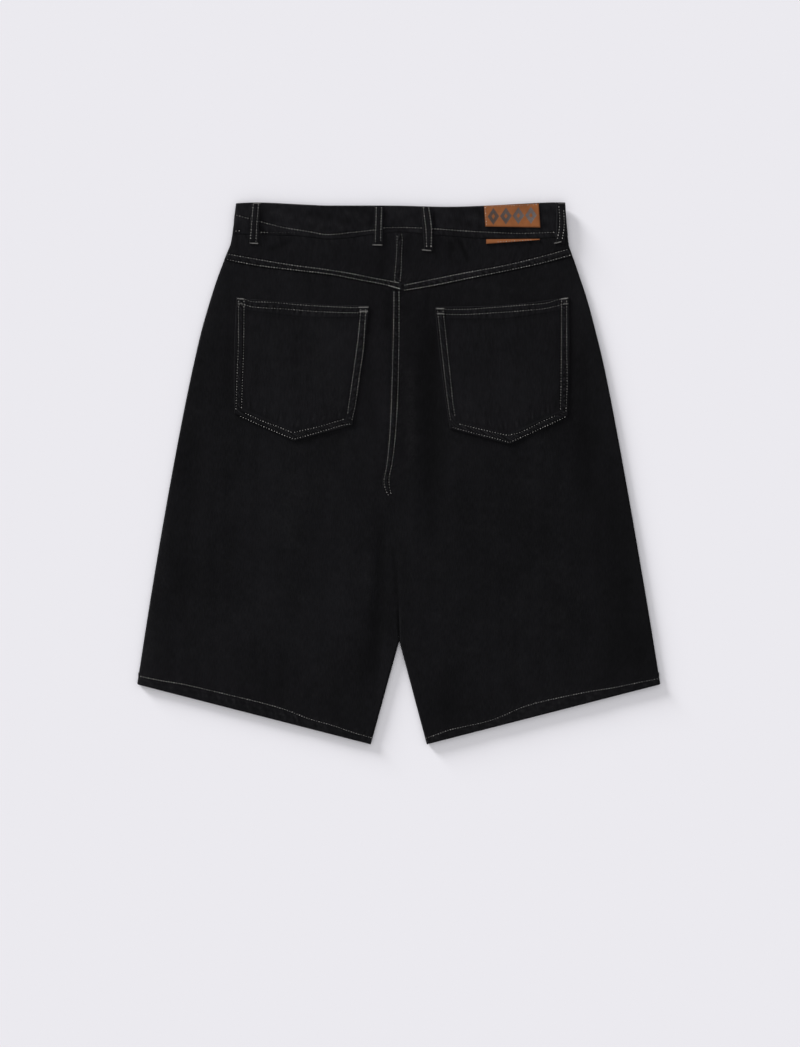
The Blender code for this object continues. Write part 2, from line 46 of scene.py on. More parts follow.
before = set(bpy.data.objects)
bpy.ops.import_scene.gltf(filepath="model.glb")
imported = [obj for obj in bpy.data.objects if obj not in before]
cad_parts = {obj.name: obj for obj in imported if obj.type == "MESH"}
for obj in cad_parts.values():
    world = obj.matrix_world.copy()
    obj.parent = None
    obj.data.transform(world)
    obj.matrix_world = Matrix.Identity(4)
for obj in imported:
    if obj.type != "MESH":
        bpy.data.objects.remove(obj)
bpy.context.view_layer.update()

MM = 0.001
SIDE_OF = {"left": -1, "right": 1}
SHARP = math.radians(62)  # edges that turn more than this are shaded sharp

# ---------------------------------------------------------------- sizes of the cut, in mm

SEAM_GAP = 0.3  # between two pieces that are sewn together
BACK_TOP = 5.4  # height of the laid back
BACK_LENGTH = 545.0
FRONT_LENGTH = 600.0
CLOTH = 0.8
TOUCH = 0.03  # half of what is left between the two legs
CROTCH_Y = -29.0
SEWN_Y = -24.0  # the seat seam's relief fades in above this
SEWN_FADE = 10.0
PRESSED_Y = -150.0  # above this the legs' inner edges are pressed flat against each other
NOTCH_Y = -201.0  # where the legs part
FOLD_FADE = 0.25  # share of a crease's length over which it fades at either end

BAND_UNDER = 1.7  # heights of the waistband's two faces
BAND_TOP = 7.4
BAND_SWELL = 0.7
SWELL_REACH = 70.0
BAND_HALF = 200.0  # half of its laid width, and the flat share of that
FLAT_SHARE = 0.985
BAND_CLOTH = 1.8  # thickness of the folded strip, and of its shell
BAND_SHELL = 0.6
BAND_STEP = 0.25  # from the band down to the cloth beside it
RISE_LENGTH = 55.0  # over which the back and the front rise to the band
FRONT_RISE_LENGTH = 26.0
FRONT_DIP = 12.0
FRONT_EDGE = 285.0
FRONT_BAND = 38.0
LAP_END = 20.0
LAP_RAMP = 16.0

HEM_RADIUS = 1.0  # of the fold along the hem
HEM_TURNING = 13.0
SEAM_RAISE = 0.75  # height and width of a felled seam
SEAM_BAND = 8.6
SEAM_FOLD = 0.85  # radius of a folded seam edge
GATHER = 0.14  # height of the cloth's gathers beside a seam
GATHER_LENGTH = 8.0
GROOVE_DEPTH = 0.34  # of the groove that a row of stitches draws
GROOVE_WIDTH = 1.0
GROOVE_PAINTED_SHADE = 2.0  # painted shade in a groove: how much darker the cloth is painted, for each mm of its depth

YOKE_DEPTH = 50.0
YOKE_SHELL = 0.55
POCKET_WIDTH = 160.0
POCKET_LENGTH = 150.0
POCKET_BOW = 1.6
POCKET_RIM = 1.25
POCKET_SHELL = 0.5
POCKET_STAND = 1.55  # a pocket's face over the panel below it
POCKET_TURNING = 0.32  # height of its turned edges, and their widths
SIDE_HEM = 11.5
TOP_HEM = 16.0
LOOP_WIDTH = 10.4
LOOP_CLOTH = 1.4
LOOP_SHELL = 0.5
LOOP_RIM = 0.7
LOOP_FOLD = 0.4
LOOP_SLACK = 0.8
LOOP_PRESS = 0.9  # how far its bartack presses a loop's foot down
LOOP_ROW = 3.1  # its rows of stitches from its middle
PATCH_THICK = 1.2
FLY_START = -4.0
FLY_WIDTH = 38.0
FLY_LENGTH = 120.0
FLY_TAPER = 0.12
FLY_SHELL = 0.9
FLY_HEIGHT = 2.3

BUTTON_RADIUS = 8.5
BUTTON_HEAD = 1.4
SHANK_RADIUS = 2.2
BUTTON_PROFILE = (
    (0.0, 0.35),
    (BUTTON_RADIUS * 0.5, 0.35),
    (BUTTON_RADIUS * 0.58, 0.0),
    (BUTTON_RADIUS * 0.8, 0.0),
    (BUTTON_RADIUS * 0.96, 0.25),
    (BUTTON_RADIUS, 0.7),
    (BUTTON_RADIUS * 0.95, 1.15),
    (BUTTON_RADIUS * 0.84, BUTTON_HEAD),
    (SHANK_RADIUS * 1.3, BUTTON_HEAD),
    (SHANK_RADIUS, BUTTON_HEAD + 0.3),
    (SHANK_RADIUS, BAND_UNDER + BAND_CLOTH),
    (0.0, BAND_UNDER + BAND_CLOTH),
)
Slot = namedtuple("Slot", "x length width stitches")
BUTTONHOLE = Slot(4.5, 17.0, 4.4, 64)

# ---------------------------------------------------------------- outline of the pieces

Edge = namedtuple("Edge", "x y")
Side = namedtuple("Side", "y left right")
Seam = namedtuple("Seam", "y x")
Fold = namedtuple("Fold", "x_top y_top x_low y_low width depth")
Loop = namedtuple("Loop", "name x_top x_low below")


def table(kind, *rows):
    """A table with named columns."""
    return tuple(kind(*row) for row in rows)


def edges(*points):
    """A table of an edge or a row of stitches from (x, y) pairs."""
    return table(Edge, *points)


HEM_INNER = Edge(33.6, -325.2)
HEM_OUTER = Edge(314.1, -253.1)
SIDES = table(
    Side,
    (325.2, -195.3, 199.9), (313.8, -196.6, 200.6), (285, -200.1, 202.9), (275.4, -201.9, 203.8),
    (265.8, -205.9, 206.9), (256.2, -209.6, 210.4), (232.2, -218.6, 218.6), (208.2, -226.3, 226.4),
    (172.2, -236.7, 236.1), (136.2, -245.2, 244.9), (88.2, -255.4, 254.8), (16.2, -269.3, 268.3),
    (-79.8, -286.4, 285.3), (-175.8, -302.2, 301.6), (-253.1, -314.1, 314.1),
)
LEG_SEAM = table(
    Seam, (CROTCH_Y, -13.2), (-56, -6.9), (-92, -3.3), (-152, -0.4), (NOTCH_Y, 0.6)
)
BACK_SEAM = LEG_SEAM + table(
    Seam,
    (292, -3.9), (268, -4.4), (240, -6.5), (219, -7.6), (181, -8.1), (132, -9.4), (76, -11.1),
    (40, -13.1), (9, -16.4), (-10, -19.9), (-19, -18.1),
)
FRONT_SEAM = LEG_SEAM + table(Seam, (280, 0), (60, 0), (5, -5))
YOKE_EDGE = edges(
    (-209, 255.9), (-166.5, 247.9), (-124.5, 242.8), (-82.5, 237.8), (-46.5, 231.1),
    (-16.5, 224.9), (-2.5, 219.6), (36.9, 223.6), (85.5, 233.3), (127.5, 241.7), (169.5, 250.7),
    (208.5, 260.4),
)
BAND_EDGE = edges(
    (-200.5, 287.4), (-164, 286.2), (-123, 285), (-82.5, 280.8), (-58.5, 282.6), (-16.5, 288.6),
    (2.7, 289.2), (49.5, 285.6), (97.5, 282), (145.5, 281.4), (203, 283.8),
)
WAIST_EDGE = edges(
    (-195.3, 324.2), (-171.3, 325.1), (-113.7, 322.6), (-84, 321.4), (-12, 321.3), (59, 319.9),
    (102, 321.1), (145.5, 323.5), (188, 325.2), (199.9, 325.1),
)

# Soft troughs (depth below 0) and ridges of the back, each along a line. The first are the solids'
# own; the rest are the finer creases of the laid cloth.
# shading() paints the troughs of these folds darker, as painted shade.
FOLDS = table(
    Fold,
    (41, 215, 40, -95, 15, -1.5), (66, 30, 78, -150, 20, 0.6), (-14, -36, -34, -285, 11, -1.2),
    (-48, -20, -66, -270, 17, 0.8), (-245, 90, -262, -200, 17, -0.9),
    (-214, 60, -232, -230, 17, 0.6), (220, 175, 231, -60, 14, -0.9), (190, 40, 214, -220, 20, 0.6),
    (-201, 185, -203, 70, 9, -0.6), (-18, 215, -20, 40, 12, 0.5), (62, -225, 68, -300, 20, -0.7),
)
# Finer creases of the back. shading() paints them darker in their troughs and paler on their ridges,
# as painted shade and painted highlight.
CREASES = table(
    Fold,
    (71, 284, 86, 250, 2.6, -0.6), (62, 280, 67, 264, 3.4, -0.45), (-14, 292, -19, 228, 7, -0.26),
    (12, 292, 10, 254, 6, -0.26), (13, 150, 16, -10, 9, 0.24), (38, 95, 40, -60, 13, 0.09),
    (-34, 145, -31, 35, 8, -0.22), (-106, 225, -66, 15, 21, 0.13), (-33, -90, -37, -172, 8, 0.16),
    (-27, -150, -34, -290, 11, -0.12), (170, 160, 176, 55, 14, -0.1),
    (262, -110, 276, -265, 32, -0.12), (-128, 100, -132, -125, 15, 0.1),
    (165, -30, 173, -150, 17, 0.08), (196, 196, 199, 66, 10, -0.13),
    (-123, 281, -160, 265, 4, -0.35), (-21, 224, -9, 212, 2.6, -0.3),
    (36, 222, 33, 178, 3.6, -0.35), (-14, 222, -12, 165, 5, -0.4), (-7, -79, -1, -164, 3.5, -0.35),
)
# Creases of the waistband; band_relief() paints them darker, as painted shade.
BAND_CREASES = table(
    Fold,
    (41.6, 318, 43.4, 292, 2.2, -0.5), (-32, 318, -32.5, 290, 3, -0.25),
    (-84, 320, -82, 288, 7, -0.2), (98, 320, 99, 288, 4, -0.3),
)
FRONT_CREASES = table(
    Fold,
    (-34, 60, -150, 118, 11, 0.7), (-30, 20, -178, 44, 13, 0.6), (30, 62, 156, 126, 11, 0.65),
    (28, 14, 170, 52, 13, 0.6), (-96, 20, -150, -250, 17, 0.8), (-215, 70, -248, -190, 15, 0.6),
    (88, 10, 128, -255, 18, 0.8), (206, 90, 240, -180, 15, 0.6), (-30, -60, -58, -270, 12, 0.5),
    (28, -50, 60, -265, 12, 0.5),
)

POCKET_TOPS = {
    "left": edges((-194.7, 211.8), (-178.5, 209.4), (-118.5, 204.6), (-82.5, 202.2),
                  (-35.7, 201.4)),
    "right": edges((203.7, 211.8), (192.3, 210), (145.5, 203.8), (109.5, 201), (43.5, 199.8)),
}
POCKET_FEET = {
    "left": edges((-197.3, 72), (-125.8, 38.6), (-55.4, 57.6)),
    "right": edges((202.6, 69), (132.5, 34.7), (61.5, 53.6)),
}
BACK_LOOPS = table(
    Loop,
    ("belt_loop_side_left", -171.2, -174, 7.5), ("belt_loop_centre_left", -23.7, -24.8, 12.5),
    ("belt_loop_centre_right", 32.4, 36, 17), ("belt_loop_side_right", 194.5, 193.4, 8),
)
FRONT_LOOPS = table(
    Loop,
    ("belt_loop_front_left", -96, -96, 8), ("belt_loop_front_right", 96, 96, 8),
)
PATCH = edges((102.1, 321), (167.7, 323.6), (103.9, 295.9), (169.7, 294.8))
PATCH_TAIL = edges((104.8, 280.7), (169, 281.2), (104.8, 275.2), (169.2, 279.9))

# ---------------------------------------------------------------- rows of stitches

HEM_ROWS = {
    "left": edges((-311, -243.2), (-286.3, -248.3), (-260.6, -252.5), (-231.7, -259),
                  (-200.6, -266.4), (-165.3, -275), (-135.3, -283.6), (-107.3, -294.4),
                  (-79.5, -302.3), (-56, -310.3), (-31.5, -317.5)),
    "right": edges((31.5, -318.2), (45.4, -313.2), (62.6, -307.2), (79.7, -303.4), (104.3, -298),
                   (121.5, -292.2), (147.2, -281), (164.3, -275.6), (194.3, -268.6),
                   (228.7, -261.7), (258.7, -256.8), (290.7, -250.3), (311.5, -246.2)),
}
YOKE_ROWS = {
    "left": (
        edges((-204.8, 263), (-124.5, 249.4), (-94.5, 245.6), (-58.5, 240), (-28.5, 234.1),
              (-8, 230.4)),
        edges((-206.6, 256.8), (-166.5, 249.2), (-124.5, 244.1), (-82.5, 239.2), (-46.5, 232.4),
              (-16.5, 226.7), (-10, 225)),
    ),
    "right": (
        edges((5.5, 225.6), (43.3, 233.4), (85.5, 241.8), (127.5, 249.5), (169.5, 259.6),
              (203.1, 268.7)),
        edges((5.5, 219.6), (36.9, 224.9), (85.5, 234.6), (127.5, 243), (169.5, 252), (206.5, 262)),
    ),
}
CROSSING_ROWS = (
    edges((-8, 230.4), (0.5, 228.6)),
    edges((-10, 225), (-4, 223.2), (1.5, 221.6)),
)
YOKE_SEAM_ROWS = (
    edges((-2, 285.6), (-2.3, 268.2), (-3.7, 249.4), (-4.5, 239.4), (-5.1, 229.8)),
    edges((3.1, 287.8), (4.3, 282.6), (3.5, 265.8), (3.1, 253.8), (2.7, 241.8), (1.5, 229.8)),
)
SEAT_ROWS = (
    edges((-5.7, 219), (-6.1, 181.1), (-7.4, 132.6), (-9.1, 76.2), (-11.1, 40.2), (-14.3, 9.4),
          (-17.8, -10), (-16, -18.5), (-11.8, -27)),
    edges((0.3, 219), (0.3, 172.2), (-0.7, 112.2), (-2.1, 75.7), (-3.9, 47.9), (-8.1, 11.5),
          (-11.9, -7.8), (-11, -17.4), (-8.9, -25)),
)
POCKET_ROWS = {
    "left": (
        edges((-191.7, 209.4), (-183.3, 208.6), (-176.9, 206), (-154.1, 205.3), (-118.9, 202.2),
              (-82.1, 200), (-50.1, 199.1), (-39.3, 199.2)),
        edges((-192.9, 202.2), (-183.3, 202.2), (-177.5, 200), (-136.5, 197.2), (-94.9, 194),
              (-48.9, 192.7), (-37.5, 192.7)),
        edges((-192.1, 208), (-192.3, 160.2), (-193.6, 124.2), (-194.6, 93.6), (-195.3, 75.8)),
        edges((-185.5, 208), (-186.1, 148.2), (-187.4, 112.2), (-188.6, 77.4)),
        edges((-190.9, 69), (-166.9, 58.2), (-141.5, 47.4), (-125.8, 41)),
        edges((-184.9, 72.7), (-164.3, 63.2), (-141.5, 54.7), (-127.6, 48.8)),
        edges((-125.8, 41), (-94.9, 49.6), (-62, 58.8), (-57.3, 59.4)),
        edges((-126.4, 49), (-94.9, 56.3), (-65.1, 65.2)),
        edges((-39.5, 198), (-42.4, 150.6), (-47.1, 117.6), (-52.1, 82.2), (-56.3, 63.2)),
        edges((-45.5, 198), (-48.3, 165.6), (-52.1, 136.6), (-57.3, 99.8), (-61.4, 71.4)),
    ),
    "right": (
        edges((48.3, 197.5), (56.7, 196.9), (77.1, 196.8), (109.9, 198.8), (145.1, 201.6),
              (175.5, 204.1), (193.1, 208.8), (201.4, 209.8)),
        edges((46, 191.4), (75.7, 190.6), (109.9, 192.4), (145.1, 194.9), (175.5, 197.8),
              (193.1, 201.8), (202.6, 203.8)),
        edges((46.6, 196), (49.9, 162.6), (53.2, 134), (56.5, 105), (59.6, 81), (62.2, 63.2)),
        edges((53.1, 196), (55.9, 169.8), (59, 141.6), (61.9, 115.1), (64.7, 86), (67.5, 68.3)),
        edges((63.7, 55.7), (77, 51.8), (98.5, 46.2), (118.6, 41.2), (132.5, 37.1)),
        edges((71.9, 59.4), (92.1, 54.4), (122.5, 47.4), (130.5, 45.6)),
        edges((132.5, 37.1), (145.1, 42.4), (175.5, 56.3), (197, 66.4), (200.7, 68.3)),
        edges((130.5, 45.6), (143.9, 48.7), (169.1, 60.7), (188.1, 69.6)),
        edges((201.4, 208), (201.4, 154.2), (202, 112.2), (200.5, 73.3)),
        edges((195.3, 208), (195.1, 154.2), (194.7, 112.2), (193.9, 75.8)),
    ),
}
BAND_ROWS = (
    edges((-195.5, 309.8), (-178.5, 305.4), (-165.3, 301.8), (-136.5, 294.6), (-106.5, 289.8),
          (-84.9, 286.3), (-58.5, 288.8), (-32.1, 291.6), (-16.5, 294.6), (2.7, 295), (31.5, 294),
          (41.1, 293.4), (85.5, 290.4), (121.5, 288.6), (145.5, 287.9), (187.5, 289.2)),
    edges((-197.1, 290.6), (-189.3, 291)),
    edges((-166.4, 289.2), (-156, 288.9)),
)
FAINT_ROW = edges((-155, 288.9), (-123.3, 288.6))
LOOP_ROWS = {
    "belt_loop_side_left": (
        edges((-174.3, 323.4), (-176.1, 300.6), (-177.7, 280.2)),
        edges((-167.9, 323.4), (-170.1, 298.2), (-171.3, 276.6)),
    ),
    "belt_loop_centre_left": (
        edges((-26.8, 319.8), (-28, 276)),
        edges((-20.6, 319.8), (-21.7, 277.8)),
    ),
    "belt_loop_centre_right": (
        edges((29.5, 319.8), (30.7, 307.8), (32.7, 289.8), (33.3, 270.6)),
        edges((35.5, 319.8), (38.1, 304.2), (39.3, 289.8), (38.7, 270.6)),
    ),
    "belt_loop_side_right": (
        edges((191.7, 321), (192.9, 306.6), (192.3, 292.2), (189.9, 280.2)),
        edges((197.7, 316.2), (198.3, 298.2), (195.9, 280.2)),
    ),
}
PATCH_ROWS = (
    edges((103.6, 319.6), (166.4, 322.2)),
    edges((103.4, 320), (105.2, 297)),
)
TAIL_ROWS = (
    edges((117.5, 277.4), (150, 279.3), (160, 279.9)),
)
FLY_ROWS = (
    edges((-40, 270), (-40, 200), (-36, 172), (-22, 152), (-2, 142)),
    edges((-34, 270), (-34, 202), (-30.5, 176), (-18.5, 158.5), (-2, 149)),
)
FRONT_SEAM_ROWS = (edges((-2.4, 138), (-2.4, 60), (-7.4, 5), (-15, -26)),)

# How pale the thread is on the rows whose paleness differs; the right side's rows are darker than the
# left's.
PATCH_PALE = (0.5, 1.4)
POCKET_PALE = {"left": 0.84, "right": 0.72}
HEM_PALE = {"left": 0.83, "right": 0.66}

# Dense bars of thread where a seam takes a load: middle, length, turn in degrees and paleness.
Tack = namedtuple("Tack", "x y length turn pale", defaults=(0.4,))
LOOP_TACKS = {
    "belt_loop_side_left": (Tack(-173.7, 276, 9.6, -3), Tack(-170.2, 323.6, 9.2, 0, 0.25)),
    "belt_loop_centre_left": (Tack(-25.5, 273.9, 11.4, 0),),
    "belt_loop_centre_right": (Tack(33.4, 267.6, 10.8, -4),),
    "belt_loop_side_right": (Tack(190.6, 276.8, 8.4, 14), Tack(195.3, 323.4, 8.4, 0, 0.12)),
}
POCKET_TACKS = {
    "left": (Tack(-189.6, 209.3, 8.2, -5), Tack(-190.2, 203.8, 5.6, 0, 0.2),
             Tack(-41.9, 199.2, 10.2, 0), Tack(-41.9, 194.4, 9.6, 0)),
    "right": (Tack(49.7, 197.6, 9.6, 0), Tack(49.7, 191.6, 7.6, 0),
              Tack(198.6, 209.6, 8.6, 8), Tack(200.4, 203.6, 5.2, 0, 0.2)),
}
FLY_TACK = Tack(-3, 145.5, 9, 88)

# ---------------------------------------------------------------- curves


def between(a, b, t):
    return a + (b - a) * t


def ease(t):
    t = np.clip(t, 0.0, 1.0)
    return t * t * (3.0 - 2.0 * t)


def bell(distance, width):
    return np.exp(-((distance / width) ** 2))


def smooth_curve(rows, key="x", value="y"):
    """A function that reads one column of a table against another, smooth between the rows."""
    at, to = np.array(sorted((getattr(row, key), getattr(row, value)) for row in rows)).T
    steps = np.diff(to) / np.diff(at)
    product = steps[:-1] * steps[1:]
    total = steps[:-1] + steps[1:]
    inner = np.where(product > 0, 2 * product / np.where(product > 0, total, 1.0), 0.0)
    slopes = np.concatenate((steps[:1], inner, steps[-1:]))

    def read(x):
        x = np.asarray(x, float)
        i = np.clip(np.searchsorted(at, x, side="right") - 1, 0, len(at) - 2)
        span = at[i + 1] - at[i]
        t = np.clip((x - at[i]) / span, 0.0, 1.0)
        start = (2 * t**3 - 3 * t**2 + 1) * to[i] + (t**3 - 2 * t**2 + t) * span * slopes[i]
        end = (3 * t**2 - 2 * t**3) * to[i + 1] + (t**3 - t**2) * span * slopes[i + 1]
        before = slopes[0] * np.minimum(x - at[0], 0.0)
        after = slopes[-1] * np.maximum(x - at[-1], 0.0)
        return start + end + before + after

    return read


side_left = smooth_curve(SIDES, "y", "left")
side_right = smooth_curve(SIDES, "y", "right")
back_seam = smooth_curve(BACK_SEAM, "y", "x")
front_seam = smooth_curve(FRONT_SEAM, "y", "x")
yoke_edge = smooth_curve(YOKE_EDGE)
band_edge = smooth_curve(BAND_EDGE)
waist_edge = smooth_curve(WAIST_EDGE)
hem_row = {key: smooth_curve(row) for key, row in HEM_ROWS.items()}


def side_edge(side, y):
    return np.where(np.asarray(side) < 0, side_left(y), side_right(y))


def front_band_edge(x):
    """The waistband's lower edge on the front, which dips below the back's."""
    level = between(FRONT_EDGE, band_edge(x), np.minimum((x / BAND_HALF) ** 2, 1.0))
    return level - FRONT_DIP * np.maximum(0.0, 1.0 - (x / side_right(FRONT_EDGE)) ** 2)


BUTTON_Y = float(front_band_edge(0.0)) + FRONT_BAND / 2


def hem_height(x):
    share = (np.abs(x) - HEM_INNER.x) / (HEM_OUTER.x - HEM_INNER.x)
    return between(HEM_INNER.y, HEM_OUTER.y, share)


def inner_edge(seam, side, y):
    """A panel's edge at the centre seam, and below the notch the leg's inner edge."""
    start = seam(NOTCH_Y) + side * TOUCH
    share = (NOTCH_Y - y) / (NOTCH_Y - HEM_INNER.y)
    return np.where(
        y >= NOTCH_Y, seam(y) + side * TOUCH, between(start, side * HEM_INNER.x, share)
    )


def outer_end(side, edge):
    """Where a seam that runs across the garment meets its side edge."""
    x = side_edge(side, edge(0.0))
    for _ in range(6):
        x = side_edge(side, edge(x))
    return float(x)


def loop_ends(loop):
    """The levels of a belt loop's foot and of its fold at the waist."""
    if loop in FRONT_LOOPS:
        crown = front_band_edge(loop.x_top) + FRONT_BAND
        return float(front_band_edge(loop.x_low)) - loop.below, float(crown) - LOOP_FOLD
    foot = min(float(band_edge(loop.x_low)) - loop.below, LOOP_TACKS[loop.name][0].y - 0.9)
    return foot, float(waist_edge(loop.x_top)) - LOOP_FOLD


def dense(row, step):
    """Points close together along a row of stitches, smooth and an even step apart."""
    points = np.array(row, float)
    reach = np.concatenate(([0.0], np.cumsum(np.hypot(*np.diff(points, axis=0).T))))
    at = np.linspace(0.0, reach[-1], max(int(round(reach[-1] / step)), 1) + 1)
    curves = [smooth_curve(edges(*zip(reach, column))) for column in points.T]
    return np.array([curve(at) for curve in curves]).T


def off_row(row, x, y, reach):
    """How far each point lies from a row, up to a reach."""
    line = dense(row, 3.0)
    far = np.full(np.shape(x), 1e3)
    low, high = line.min(axis=0) - reach, line.max(axis=0) + reach
    near = (x > low[0]) & (x < high[0]) & (y > low[1]) & (y < high[1])
    px, py = x[near], y[near]
    best = far[near]
    for (ax, ay), (bx, by) in zip(line, line[1:]):
        length = math.hypot(bx - ax, by - ay)
        t = np.clip(((px - ax) * (bx - ax) + (py - ay) * (by - ay)) / length**2, 0.0, 1.0)
        best = np.minimum(best, np.hypot(px - between(ax, bx, t), py - between(ay, by, t)))
    far[near] = best
    return far


# ---------------------------------------------------------------- heights of the laid cloth


def fold_height(fold, x, y):
    """How far one fold moves the cloth up or down at each point."""
    run = np.array((fold.x_low - fold.x_top, fold.y_low - fold.y_top))
    length = np.hypot(*run)
    along = ((x - fold.x_top) * run[0] + (y - fold.y_top) * run[1]) / length**2
    aside = ((x - fold.x_top) * run[1] - (y - fold.y_top) * run[0]) / length
    fade = ease(along / FOLD_FADE) * ease((1.0 - along) / FOLD_FADE)
    return fold.depth * fade * bell(aside, fold.width)


def folds_height(folds, x, y):
    return sum(fold_height(fold, x, y) for fold in folds)


def unevenness(x, y, size, seed):
    """Broad, irregular rise and fall between about -1 and 1."""
    total = 0.0
    for k in range(5):
        turn = seed + 2.4 * k
        length = size * (0.7 + 0.27 * k)
        phase = (x * math.cos(turn) + y * math.sin(turn)) * math.tau / length
        total = total + np.sin(phase + 1.7 * seed * (k + 1))
    return total / 3.0


def ripple(along, length, seed):
    """An uneven wave along a seam, between about -1 and 1."""
    phase = math.tau * along / length
    slow = np.sin(0.37 * phase + 2.0 * seed)
    return 0.6 * np.sin(phase + seed + 1.1 * slow) + 0.4 * np.sin(1.73 * phase + 3.1 * seed)


def shading(x, y):
    """Painted light and shade in the cloth's colour, over its own cloudy fading: below 0 darker, above
    0 paler.
    """
    # painted shade in the troughs of the folds
    troughs = sum(np.minimum(fold_height(fold, x, y), 0.0) for fold in FOLDS)
    clouds = 0.07 * unevenness(x, y, 88.0, 4.2) + 0.08 * unevenness(x, y, 30.0, 5.3)
    clouds = clouds + 0.1 * unevenness(1.4 * x, y, 13.0, 6.1)
    leg = ease((110.0 - y) / 160.0)
    from_left = x - side_left(y)
    # painted light along the left edge, and painted shade over the right leg's outer part, as the low
    # lamp from the left falls
    painted_light_left = 0.16 * bell(from_left, 20.0) * leg + 0.24 * bell(from_left, 8.0)
    painted_shade_right = 0.5 * bell(side_right(y) - x - 26.0, 28.0) * leg * ease((y + 290.0) / 90.0)
    # the creases get painted shade in their troughs and painted highlights on their ridges
    return 0.5 * troughs + 1.7 * folds_height(CREASES, x, y) + clouds + painted_light_left - painted_shade_right


def band_height(x):
    return BAND_TOP + BAND_SWELL * bell(x, SWELL_REACH)


def back_form(x, y):
    """The outer face of the laid back, without its seams."""
    below_band = band_edge(x) - y
    rise = ease(1.0 - below_band / RISE_LENGTH)
    height = between(BACK_TOP, band_height(x) - BAND_STEP, rise)
    uneven = 0.22 * unevenness(x, y, 74.0, 0.7) + 0.09 * unevenness(x, y, 27.0, 2.9)
    return height + folds_height(FOLDS + CREASES, x, y) + ease(below_band / 60.0) * uneven


def front_form(x, y):
    """The outer face of the front, which is the underside of the laid shorts."""
    rise = ease(1.0 - (front_band_edge(x) - y) / FRONT_RISE_LENGTH)
    return (BAND_UNDER + BAND_STEP) * rise


def grooves(rows, x, y):
    """Stitching draws the cloth down along each row."""
    drawn = np.zeros(np.shape(x))
    for row in rows:
        drawn = np.maximum(drawn, bell(off_row(row, x, y, 4.0), GROOVE_WIDTH))
    return -GROOVE_DEPTH * drawn


def hem_relief(key, x, y):
    """The turned hem stands proud up to its stitches, drawn into slanting ripples by them."""
    over_hem = y - hem_height(x)
    row = hem_row[key](x)
    top = row - hem_height(x) + 1.8
    step = ease((top - over_hem) / 1.6)
    rope = ripple(x + 0.35 * over_hem, 8.5, 1.3) * (0.6 + 0.6 * unevenness(x, y, 38.0, 3.3))
    rope = rope + 0.6 * unevenness(x + over_hem, 1.4 * y, 10.0, 2.2)
    rope = step * rope * bell(over_hem - top * 0.5, top * 0.42)
    ripples = ripple(x - 0.6 * over_hem, 8.0, 4.1) * bell(y - row - 3.5, 3.0)
    groove = bell(y - row, GROOVE_WIDTH)
    # rubbed paler along the hem's fold and on the turned band; the rope and ripples rubbed paler on
    # their ridges and given painted shade in their dips; painted shade in the groove
    worn = 0.4 * (bell(over_hem, 1.3) + ripples - groove) + 0.62 * rope + 0.14 * step
    return 0.55 * step + 0.26 * rope + 0.12 * ripples - 0.3 * groove, worn


def felled_seam(from_edge, along, seed):
    """Relief, wear and painted shade across a felled seam, from its folded edge inwards."""
    step = ease((SEAM_BAND - from_edge) / 2.4)
    middle = bell(from_edge - 4.4, 2.2)
    puckers = ripple(along + 0.8 * from_edge, 6.8, seed)
    puckers = puckers * (0.8 + 0.5 * np.sin(along / 9.1 + seed)) + 0.4 * np.sin(along / 1.1)
    beside = ripple(along - 0.5 * from_edge, 8.3, seed + 2.0) * bell(from_edge - 11.5, 3.2)
    # the folded edge rubbed paler; the puckers rubbed paler on their ridges and given painted shade in
    # their dips
    worn = 0.3 * bell(from_edge, 0.8) + middle * (2.2 * puckers + 0.05) + 0.45 * beside
    return SEAM_RAISE * step + 0.28 * puckers * middle + 0.12 * beside, worn


def panel_face(key, x, y):
    """Height, wear and painted shading of a back panel's outer face."""
    height, worn = hem_relief(key, x, y)
    below_yoke = np.maximum(yoke_edge(x) - y, 0.0)
    gathers = ripple(x, GATHER_LENGTH, 0.4) * bell(below_yoke, 5.0)
    height = height + back_form(x, y) + GATHER * gathers
    # painted shadow just under the yoke's folded edge; the gathers paler on their ridges and given
    # painted shade in their dips
    worn = worn + shading(x, y) + 0.4 * gathers - 0.35 * bell(below_yoke, 1.6)
    from_seam = np.maximum(SIDE_OF[key] * (x - back_seam(y)), 0.0)
    sewn = ease((y - SEWN_Y) / SEWN_FADE)
    if key == "right":
        seam, seam_wear_and_shading = felled_seam(from_seam, y, 0.9)
        drawn = grooves(SEAT_ROWS, x, y)
        return height + seam * sewn + drawn, worn + seam_wear_and_shading * sewn + GROOVE_PAINTED_SHADE * drawn
    # the left panel gets painted shade beside the seat seam, under the right panel's fold
    gathers = sewn * ripple(y, GATHER_LENGTH, 1.9) * bell(from_seam, 5.0)
    return height + GATHER * gathers, worn + 0.35 * gathers - 0.4 * sewn * bell(from_seam, 3.2)


def yoke_face(key, x, y):
    """Height, wear and painted shading of a yoke's outer face."""
    seam, worn = felled_seam(np.maximum(y - yoke_edge(x), 0.0), x, 2.6)
    height = back_form(x, y) + seam
    drawn = grooves(YOKE_ROWS[key], x, y)
    if key == "right":
        side_seam, side_wear_and_shading = felled_seam(np.maximum(x - back_seam(y), 0.0), y, 1.4)
        height = height + side_seam * ease((y - 226.0) / 6.0)
        drawn = drawn + grooves(YOKE_SEAM_ROWS, x, y)
        worn = worn + side_wear_and_shading
    under_band = np.maximum(band_edge(x) - y, 0.0)
    gathers = ripple(x + 0.4 * y, 11.0, 0.8) * bell(under_band - 3.0, 5.0)
    # the gathers under the band paler on their ridges and given painted shade in their dips, and
    # painted shade in the grooves of the stitching
    worn = worn + shading(x, y) + 0.4 * gathers + GROOVE_PAINTED_SHADE * drawn
    return height + 0.16 * gathers + drawn, worn


def back_face(x, y):
    """The outer face of the back under a row of stitches, whichever piece lies on top there."""
    faces = []
    for face in (yoke_face, panel_face):
        left, right = (face(key, x, y)[0] for key in SIDE_OF)
        faces.append(np.where(x > back_seam(y), right, left))
    return np.where(y > yoke_edge(x), *faces)


